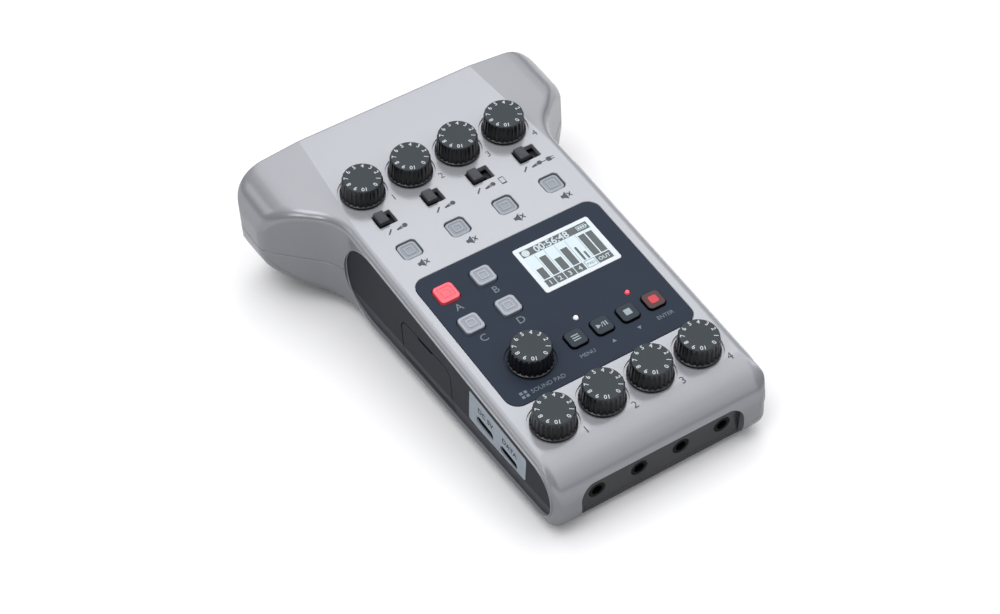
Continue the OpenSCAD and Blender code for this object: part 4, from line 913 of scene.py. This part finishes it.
def backlight(wire):
    """Backlit display: a pale blue-green field inside a white border."""
    x, v, _ = face_place(wire)
    beside = abs(x - LCD_X * MM) > (LCD_W / 2 - LCD_BORDER) * MM
    border = beside | (abs(v + LCD_BACK * MM) > (LCD_L / 2 - LCD_BORDER) * MM)
    field = noise(wire, 160).blend(srgb(182, 199, 205), srgb(194, 211, 216))
    lit = border.blend(field, srgb(205, 212, 216))
    return {"Base Color": lit, "Emission Color": lit, "Emission Strength": 0.06,
            "Roughness": 0.16 + border * 0.1, "Coat Weight": 0.3}


glass_edge = [(0.16, 0.0), (0.0, -0.08), (0.0, -PANEL_DEEP)]
glass = stack([(outline(LCD_W - d, LCD_L - d, LCD_R - d / 2), h) for d, h in glass_edge])
piece("display_glass", at_places(glass, [display_place]), finish("backlight", backlight),
      replaces=["display_window"])
dress(finish("module_white", moulded(srgb(222, 232, 234), 0.4, 0.04)), "display_module")


def lamp_glow(wire):
    """Two lit lamps in one moulding: white on the left, red on the right."""
    right = measure(wire, 0) > (lamp_places[0][0] + lamp_places[1][0]) / 2 * MM
    lit = right.blend(srgb(236, 238, 242), srgb(255, 74, 92))
    return {"Base Color": lit, "Emission Color": lit, "Emission Strength": 0.25,
            "Roughness": 0.25 + noise(wire, 900) * 0.05}


dress(finish("lamp_glow", lamp_glow), "status_leds")


def stroke(start, stop, width):
    """Outline of a straight printed line between two points."""
    start, stop = np.array(start, float), np.array(stop, float)
    way = (stop - start) / np.linalg.norm(stop - start) * width / 2
    side = np.array([-way[1], way[0]])
    return np.array([start - side, stop - side, stop + side, start + side])


INK_T, LCD_INK_T, CAPITAL = 0.04, 0.02, 0.69


def print_of(*rings, thick=INK_T):
    """Thin layer of ink for each outline, turned counter-clockwise first: its signed area is positive."""
    solids = []
    for ring in rings:
        ahead = np.roll(ring, -1, 0)
        area = np.sum(ring[:, 0] * ahead[:, 1] - ahead[:, 0] * ring[:, 1])
        turned = ring if area > 0 else ring[::-1]
        solids.append(stack([(turned, thick), (turned, 0.0)]))
    return merged(*solids)


def lettering(words, height, thick=INK_T, heavy=0.0):
    """Printed words about their middle, capitals this high: Blender's letters as one joined mesh."""
    text = bpy.data.curves.new("words", "FONT")
    text.body, text.size, text.extrude, text.resolution_u = words, height / CAPITAL, thick / 2, 3
    text.offset = height * heavy
    holder = bpy.data.objects.new("words", text)
    bpy.context.scene.collection.objects.link(holder)
    bpy.context.view_layer.update()
    mesh = bpy.data.meshes.new_from_object(holder.evaluated_get(bpy.context.evaluated_depsgraph_get()))
    spots = np.empty(len(mesh.vertices) * 3, np.float32)
    mesh.vertices.foreach_get("co", spots)
    points, index = np.unique(spots.reshape(-1, 3).astype(float).round(4), axis=0, return_inverse=True)
    index = index.reshape(-1)
    faces = [index[list(p.vertices)].tolist() for p in mesh.polygons]
    for block, owner in ((holder, bpy.data.objects), (mesh, bpy.data.meshes), (text, bpy.data.curves)):
        owner.remove(block)
    middle = (points.min(0) + points.max(0)) / 2
    return points - [middle[0], middle[1], points[:, 2].min()], [f for f in faces if len(set(f)) == len(f)]


def moved(solid, x=0.0, y=0.0, turn=0.0, rise=0.0, size=1.0):
    """A solid widened by size and turned about its own middle by degrees, then shifted."""
    c, s = size * math.cos(math.radians(turn)), size * math.sin(math.radians(turn))
    return solid[0] @ np.array([(c, s, 0), (-s, c, 0), (0, 0, 1)]) + [x, y, rise], solid[1]


def placed(solid, x, back, rise=-0.01):
    """A solid set on the sloping face."""
    return on_face(moved(solid, rise=rise)[0], x, back), solid[1]


def bar(x0, y0, x1, y1):
    """Outline of a plain rectangle between two corners."""
    return np.array([(x0, y0), (x1, y0), (x1, y1), (x0, y1)], float)


def ink(name, colour, rough=0.55):
    """Screen-printed ink, slightly uneven in cover."""
    return finish(name, moulded(colour, rough, 0.1, 0.05))


# The display's picture about its middle: bars by left, right and top, boxes by left and right.
METERS = [(-11.5, -9.2, -0.4), (-8.1, -5.7, 3.3), (-4.5, -2.1, 0.3), (-0.9, 1.5, 2.6), (3.2, 4.0, 1.0),
          (4.8, 5.5, -1.8), (6.8, 9.1, 4.3), (9.5, 11.8, 4.3)]
BOXES = [(-11.9, -8.8), (-8.5, -5.3), (-5.0, -1.6), (-1.3, 2.0), (6.6, 11.9)]
PAD_BOX = [((2.5, -5.4), (6.2, -5.4)), ((2.5, -8.2), (6.2, -8.2)), ((2.55, -8.2), (2.55, -5.4)),
           ((6.15, -8.2), (6.15, -5.4))]
BATTERY_SIGN = [(8.1, 6.0, 11.4, 6.2), (8.1, 7.5, 11.4, 7.7), (8.1, 6.2, 8.3, 7.5), (11.2, 6.2, 11.4, 7.5),
                (11.4, 6.5, 11.75, 7.2), (8.55, 6.45, 9.2, 7.25), (9.4, 6.45, 10.05, 7.25),
                (10.25, 6.45, 10.9, 7.25)]
METER_FOOT, TIME_V, LABEL_V = -4.9, 6.85, -6.8
dark_marks = [bar(-12.2, 5.4, 12.2, 8.3)] + [bar(a, METER_FOOT, b, top) for a, b, top in METERS]
dark_marks += [bar(a, -8.3, b, -5.3) for a, b in BOXES]
dark_marks += [stroke((x, METER_FOOT), (x, 5.0), 0.09) for x in (-8.65, -5.15, -1.45, 2.25, 6.3)]
dark_marks += [stroke(start, stop, 0.15) for start, stop in PAD_BOX]
marks = [print_of(*dark_marks, thick=LCD_INK_T), moved(lettering("PAD", 1.0, LCD_INK_T), 4.35, LABEL_V)]
light_marks = [print_of(circle(1.3, 32) + [-10.6, TIME_V], *[bar(*b) for b in BATTERY_SIGN], thick=LCD_INK_T),
               moved(lettering("00:56:48", 2.5, LCD_INK_T, 0.03), -1.3, TIME_V)]
for word, (a, b) in zip(("1", "2", "3", "4", "OUT"), BOXES):
    size = 1.7 if len(word) == 1 else 1.35
    light_marks.append(moved(lettering(word, size, LCD_INK_T, 0.02), (a + b) / 2, LABEL_V))
piece("display_marks", placed(merged(*marks), *display_place, -0.005),
      ink("display_dark", srgb(68, 76, 80), 0.3))
piece("display_lights", placed(merged(*light_marks), *display_place, 0.01),
      ink("display_light", srgb(192, 206, 211), 0.3))

# Buttons: translucent silicone mutes and sound pads with a raised square in the middle, and four
# dark recorder keys with printed signs. Each has a flange under the shell and a stem over its switch.
BUTTON_TOP, MUTE_TOP, SOFT_H, STEM_END, STEM_R = 0.9, -0.4, 0.4, -5.1, 1.6
FLANGE_TOP, FLANGE_LOW, FLANGE_OUT, STEP = -2.15, -2.95, 1.4, 0.001
# The soft edge by inset and height, and the two middle forms by side, corner and height.
SOFT_EDGE = [(0.42, SOFT_H), (0.2, 0.35), (0.06, 0.22), (0.0, 0.0)]
RAISED = [(1.7, 0.2, -0.16), (2.0, 0.3, -0.14), (2.2, 0.35, 0.0), (3.0, 0.5, 0.0), (3.25, 0.55, -0.18),
          (4.5, 0.9, -0.2), (4.9, 1.0, -0.02)]
DISHED = [(1.2, 0.3, -0.12), (3.0, 0.8, -0.08), (4.4, 1.0, -0.02)]


def button(size, middle, top=BUTTON_TOP):
    """Button as a stack of rounded squares: soft upper edge, a middle form, flange and round stem."""
    form = [(outline(s, s, r), top + h) for s, r, h in middle]
    form += [(outline(size - 2 * d, size - 2 * d, BUTTON_R - d / 2), top - SOFT_H + h) for d, h in SOFT_EDGE]
    flange, stem = outline(size + FLANGE_OUT, size + FLANGE_OUT, BUTTON_R), circle(STEM_R, 36)
    return stack(form + [(outline(size, size, BUTTON_R), FLANGE_TOP), (flange, FLANGE_TOP - STEP),
                         (flange, FLANGE_LOW), (stem, FLANGE_LOW - STEP), (stem, STEM_END)])


def clear_rubber(colour, glow=0.0, top=BUTTON_TOP):
    """Translucent silicone: milky, a little lighter where the raised square gathers the light."""
    def paint(wire):
        _, _, rise = face_place(wire)
        milk = noise(wire, 320)
        pale = ((rise - (top - 0.26) * MM) * 4000).clamped()
        tone = (pale * 0.8 + milk * 0.2).blend(*shades(colour, 0.66, 1.1))
        return {"Base Color": tone, "Emission Color": tone, "Emission Strength": glow,
                "Roughness": 0.34 + milk * 0.1, "Coat Weight": 0.25}
    return paint


mute_clear = finish("mute_clear", clear_rubber(srgb(142, 149, 158), top=MUTE_TOP))
pad_clear = finish("pad_clear", clear_rubber(srgb(152, 158, 168)))
pad_glow = finish("pad_glow", clear_rubber(srgb(240, 84, 98), 0.25))
for number, spot in enumerate(mute_places, 1):
    name = f"mute_button_{number}"
    piece(f"mute_{number}", at_places(button(MUTE_S, RAISED, MUTE_TOP), [spot]), mute_clear, name,
          [name])
for letter, spot in zip("abcd", pad_places):
    name = f"sound_pad_{letter}"
    rubber, slot = (pad_glow, "pad_lit") if letter == "a" else (pad_clear, "button_clear")
    piece(f"pad_{letter}", at_places(button(PAD_S, RAISED), [spot]), rubber, name, [name])


def key_paint(colour):
    """Key lacquered on its top; its flanks are painted near black, painted shade standing in for the dark gap
    round the key.
    """
    def paint(wire):
        _, _, rise = face_place(wire)
        # Painted shade: the flanks below the top are coloured near black.
        top, speck = rise > (BUTTON_TOP - 0.14) * MM, speckle(wire)
        lacquer = speck.blend(*shades(colour, 0.88, 1.08))
        return {"Base Color": top.blend(srgb(12, 12, 14), lacquer), "Roughness": 0.42 + speck * 0.08,
                "Specular IOR Level": 0.2, "Normal": grain(wire, speck, 0.1)}
    return paint


key_dark = finish("key_dark", key_paint(srgb(48, 57, 65)))
key_brown = finish("key_brown", key_paint(srgb(86, 64, 66)))
pale_ink, red_ink = ink("pale_ink", srgb(152, 162, 170)), ink("red_ink", srgb(204, 62, 72))
key_signs = {
    "menu": print_of(*[bar(-1.25, y - 0.22, 1.25, y + 0.22) for y in (-0.9, 0, 0.9)]),
    "play": print_of(np.array([(-1.9, -0.85), (-0.4, 0.0), (-1.9, 0.85)]),
                     stroke((-0.35, -0.9), (0.35, 0.9), 0.2),
                     bar(0.55, -0.85, 0.95, 0.85), bar(1.35, -0.85, 1.75, 0.85)),
    "stop": print_of(outline(2.3, 2.3, 0.2)), "record": print_of(outline(2.9, 2.9, 0.7))}
for (sign, form), spot in zip(key_signs.items(), key_places):
    name = sign + "_button"
    lacquer, mark = (key_brown, red_ink) if sign == "record" else (key_dark, pale_ink)
    piece(f"{sign}_key", at_places(button(KEY_S, DISHED), [spot]), lacquer, name, [name])
    piece(f"{sign}_sign", placed(form, *spot, BUTTON_TOP - 0.03), mark, name)

# Input switches: slide levers moulded in black plastic, with a dished finger top. Each stands at the
# left end of its slot, and its post goes down into a switch on the board.
LEVER_TOP, LEVER_FOOT, POST_S, POST_END = 1.8, -3.4, 1.9, -6.4


def lever_paint(wire):
    """Black plastic with a painted highlight: a little paler, unevenly, on its finger top."""
    _, _, rise = face_place(wire)
    patchy_sheen = noise(wire, 800) * 0.4 + 0.7
    # Painted highlight: the finger top is coloured paler than the flanks.
    top = ((rise - (LEVER_TOP - 0.45) * MM) * 4000).clamped() * patchy_sheen
    return {"Base Color": top.blend(srgb(18, 18, 21), srgb(60, 62, 68)), "Roughness": 0.38 + top * 0.12,
            "Normal": grain(wire, speckle(wire), 0.12)}


lever_black = finish("lever_plastic", lever_paint)
# The finger top by width, length, corner and height over its highest line.
lever_form = [(0.8, 1.6, 0.3, -0.22), (1.8, 3.0, 0.35, -0.16), (2.5, 3.8, 0.4, -0.02), (2.9, 4.25, 0.45, 0.0),
              (3.25, 4.62, 0.45, -0.1), (3.45, 4.85, 0.42, -0.32), (LEVER_W, LEVER_L, LEVER_R, -0.6)]
post = outline(POST_S, POST_S, 0.2)
lever = stack([(outline(a, b, r), LEVER_TOP + h) for a, b, r, h in lever_form]
              + [(outline(LEVER_W, LEVER_L, LEVER_R), LEVER_FOOT), (post, LEVER_FOOT - STEP),
                 (post, POST_END)])
for number, (c, travel) in enumerate(zip(CHANNELS, LEVER_TRAVEL), 1):
    name = f"input_switch_{number}"
    spot = (c * GAIN_PITCH - travel / 2, SWITCH_BACK)
    piece(f"input_lever_{number}", at_places(lever, [spot]), lever_black, name, [name])

# Knobs: gloss black plastic with a fluted skirt, a thin foot flange and a matt slate top with white
# numerals, pressed on the flatted shafts of the controls.
KNOB_TOP, FLUTES, FLUTE_DEEP, KNOB_COLUMNS = 6.8, 24, 0.34, 288
# The profile by radius, height and share of the flutes, from the top round to the bore.
KNOB_FORM = np.array([
    (0.3, 6.74, 0), (5.75, 6.74, 0), (5.96, 6.7, 0), (6.1, 6.6, 0), (6.18, 6.45, 0), (6.24, 6.3, 0.15),
    (6.4, 6.1, 1), (6.44, 5.8, 1), (6.55, 4.0, 1), (6.68, 2.2, 1), (6.8, 0.8, 1), (6.84, 0.6, 0.6),
    (6.98, 0.46, 0), (7.14, 0.4, 0), (7.2, 0.28, 0), (7.2, -0.25, 0), (7.1, -0.35, 0), (3.05, -0.35, 0),
    (3.05, 5.4, 0), (0.3, 5.4, 0)])


def knob_solid():
    """Turned profile whose skirt is fluted: r = profile - depth * share * (1/2 + cos(flutes a)/2)^2."""
    turn = np.arange(KNOB_COLUMNS) * 2 * math.pi / KNOB_COLUMNS
    groove = (0.5 + 0.5 * np.cos(FLUTES * turn)) ** 2
    radius = KNOB_FORM[:, :1] - FLUTE_DEEP * KNOB_FORM[:, 2:] * groove
    rings = radius[..., None] * np.stack([np.cos(turn), np.sin(turn)], -1)
    return stack(list(zip(rings, KNOB_FORM[:, 1])))


def knob_paint(wire):
    """Gloss black skirt and a matt slate top, by height over the face."""
    _, _, rise = face_place(wire)
    cap = rise > (KNOB_TOP - 0.3) * MM
    speck = noise(wire, 3800)
    skirt = noise(wire, 150).blend(srgb(12, 12, 15), srgb(22, 23, 26))
    top = speck.blend(srgb(50, 57, 61), srgb(62, 69, 73))
    return {"Base Color": cap.blend(skirt, top), "Roughness": 0.26 + cap * 0.3 + speck * 0.05,
            "Specular IOR Level": 0.25, "Coat Weight": 0.5 - cap * 0.5, "Normal": grain(wire, speck, 0.1)}


knob_black = finish("knob_gloss", knob_paint)
numeral_white = ink("numeral_white", srgb(198, 202, 206))
NUMERAL_H, NUMERAL_R, NUMERAL_STEP = 1.4, 5.0, 31.2
numerals = []
for number in range(11):
    bearing = 90 + NUMERAL_STEP * (number - 5)
    x, y = NUMERAL_R * math.cos(math.radians(bearing)), NUMERAL_R * math.sin(math.radians(bearing))
    numerals.append(moved(lettering(str(number), NUMERAL_H, INK_T, 0.02), x, y, bearing - 90))
numerals = merged(*numerals)
knob_form = knob_solid()
for name, spot in zip(KNOB_NAMES + ["pad"], gain_places + phones_places + [pad_knob_place]):
    node = name.replace("_", "_knob_") if "_" in name else "pad_knob"
    piece(f"{name}_grip", at_places(knob_form, [spot]), knob_black, node, [node], angle=38)
    piece(f"{name}_numerals", placed(numerals, *spot, KNOB_TOP - 0.07), numeral_white, node)

# Printing: dark channel numbers and switch signs on the silver face, pale letters and signs on the
# slate panel, and plain words on the ports' plate, all screen-printed.
slash = print_of(stroke((-0.85, -0.85), (0.85, 0.85), 0.5))
microphone = moved(print_of(circle(0.62, 28) + [0, 0.85], bar(-0.46, -0.02, 0.46, 0.16),
                            np.array([(-0.4, -0.14), (-0.2, -1.45), (0.2, -1.45), (0.4, -0.14)])),
                   turn=-80, size=1.35)
telephone = print_of(bar(-0.8, -1.3, -0.62, 1.3), bar(0.62, -1.3, 0.8, 1.3), bar(-0.62, 1.05, 0.62, 1.3),
                     bar(-0.62, -1.3, 0.62, -0.85))
plug = print_of(outline(1.1, 1.2, 0.25), bar(-1.7, -0.1, -0.5, 0.1), bar(0.5, 0.2, 1.3, 0.4),
                bar(0.5, -0.4, 1.3, -0.2))
speaker = np.array([(-1.2, -0.45), (-0.6, -0.45), (0.3, -1.2), (0.3, 1.2), (-0.6, 0.45), (-1.2, 0.45)])
silent = print_of(speaker, stroke((0.5, -0.6), (1.4, 0.6), 0.28), stroke((0.5, 0.6), (1.4, -0.6), 0.28))
dark_prints = []
for number, c in enumerate(CHANNELS, 1):
    knob_x, phones_x = c * GAIN_PITCH, c * PHONES_PITCH
    dark_prints += [placed(lettering(str(number), 2.3), knob_x + 7.2, GAIN_BACK + 6.8),
                    placed(lettering(str(number), 2.5), phones_x + 6.6, PHONES_BACK + 7.1),
                    placed(moved(silent, size=1.4), knob_x + 0.7, MUTE_BACK + 6.8)]
    shift = (-1.3, 2.9) if number < 3 else (-3.8, 0.35, 4.9)
    signs = (slash, microphone, moved(telephone, size=1.15) if number == 3 else moved(plug, size=1.5))
    dark_prints += [placed(sign, knob_x + dx, SWITCH_BACK + 5.6) for sign, dx in zip(signs, shift)]
piece("face_printing", merged(*dark_prints), ink("dark_ink", srgb(70, 72, 80)))

pale_prints = [placed(lettering(letter, 2.6), x + 0.5, back + 6.3)
               for letter, (x, back) in zip("ABCD", pad_places)]
arrow = print_of(np.array([(-0.7, -0.55), (0.7, -0.55), (0.0, 0.7)]))
key_prints = [lettering("MENU", 1.35), arrow, moved(arrow, turn=180), lettering("ENTER", 1.35)]
pale_prints += [placed(form, x, PANEL_REAR + 50.9) for form, (x, _) in zip(key_prints, key_places)]
squares = print_of(*[bar(x, y, x + 1.0, y + 1.0) for x in (-1.25, 0.25) for y in (-1.25, 0.25)])
pale_prints += [placed(squares, -27.2, PANEL_REAR + 53.9),
                placed(lettering("SOUND PAD", 1.45), -18.9, PANEL_REAR + 54.0)]
piece("panel_printing", merged(*pale_prints), ink("panel_ink", srgb(108, 121, 129)))


def plate_print(solid, back, drop):
    """Ink on the ports' plate, seen from the left: its words run to the front."""
    points, faces = solid
    turned = np.stack([-points[:, 2] - HALF_B, -points[:, 0], points[:, 1] - drop], 1)
    return on_face(turned, 0, back), faces


port_prints = [plate_print(lettering(word, 2.0, INK_T, 0.03), back + 0.2, PORT_DROP - 4.6)
               for word, back in zip(("DC 5V", "DATA"), port_backs)]
piece("port_printing", merged(*port_prints), ink("port_ink", srgb(40, 44, 54)))

# Stage: a white table that keeps the soft shadow, a broad key light from behind on the right, five
# soft lights that draw the sheen on the rolls, and a sky that darkens towards the horizon.
TABLE_HALF, TABLE_Z = 4000.0, -0.02
table_mesh = bpy.data.meshes.new("table")
table_ring = bar(-TABLE_HALF, -TABLE_HALF, TABLE_HALF, TABLE_HALF)
table_mesh.from_pydata((np.insert(table_ring, 2, TABLE_Z, 1) * MM).tolist(), [], [[0, 1, 2, 3]])
table = bpy.data.objects.new("table", table_mesh)
bpy.context.scene.collection.objects.link(table)


def table_white(wire):
    """White wherever it is seen, also in gloss, and grey in the light that it throws back."""
    direct, gloss, through = (wire.node("ShaderNodeLightPath", out=f"Is {ray} Ray")
                              for ray in ("Camera", "Glossy", "Transmission"))
    white = (direct | gloss | through).blend((0.03, 0.03, 0.03), (0.98, 0.98, 0.98))
    return {"Base Color": white, "Roughness": 0.9, "Specular IOR Level": 0.0}


table_mesh.materials.append(finish("table_white", table_white))

world = bpy.data.worlds.new("studio")
bpy.context.scene.world = world
world.use_nodes = True
sky = Wire(world.node_tree)
height = sky.node("ShaderNodeSeparateXYZ", {0: sky.node("ShaderNodeTexCoord", out=0)}, out=2)
sky_stops = [(0.0, (0.01, 0.01, 0.012)), (0.55, (0.23, 0.23, 0.245)), (1.0, (1.3, 1.3, 1.33))]
tone = sky.node("ShaderNodeValToRGB", {0: height}, {"stops": sky_stops})
sky.feed(world.node_tree.nodes["Background"], {0: tone})

KEY_FROM = (0.36, 0.44, 0.82)
for name, towards, strength, spread in (
        ("key", KEY_FROM, 1.0, 85), ("key_heart", KEY_FROM, 0.1, 14),
        ("front_sheen", (0.36, -0.58, 0.72), 0.28, 40), ("overhead", (-0.4, -0.12, 0.91), 0.6, 30),
        ("left_sheen", (-0.82, -0.35, 0.45), 0.3, 16), ("left_rear", (-0.78, 0.49, 0.38), 0.15, 20),
        ("front_low", (0.42, -0.85, 0.3), 0.12, 25)):
    light = bpy.data.lights.new(name, "SUN")
    light.energy, light.angle = strength, math.radians(spread)
    lamp = bpy.data.objects.new(name, light)
    bpy.context.scene.collection.objects.link(lamp)
    lamp.rotation_mode = "QUATERNION"
    lamp.rotation_quaternion = Vector(towards).to_track_quat("Z", "Y")

SENSOR, FOCAL_PIXELS, PHOTO_PIXELS = 36.0, 2618.08, 1000
CAMERA_AT = np.array([-297.288, -499.6812, 581.1075]) * MM
CAMERA_AXES = np.array([(0.8397762, -0.54090097, -0.04692632), (0.40699242, 0.56994981, 0.71380276),
                        (-0.35935096, -0.61853323, 0.69877288)])
camera_data = bpy.data.cameras.new("camera")
camera_data.sensor_width, camera_data.lens = SENSOR, SENSOR * FOCAL_PIXELS / PHOTO_PIXELS
camera_data.clip_start, camera_data.clip_end = 0.05, 20
camera = bpy.data.objects.new("camera", camera_data)
bpy.context.scene.collection.objects.link(camera)
turn = np.eye(4)
turn[:3, :3], turn[:3, 3] = CAMERA_AXES.T, CAMERA_AT
camera.matrix_world = Matrix(turn.tolist())
bpy.context.scene.camera = camera
bpy.context.scene.view_settings.view_transform = "Standard"
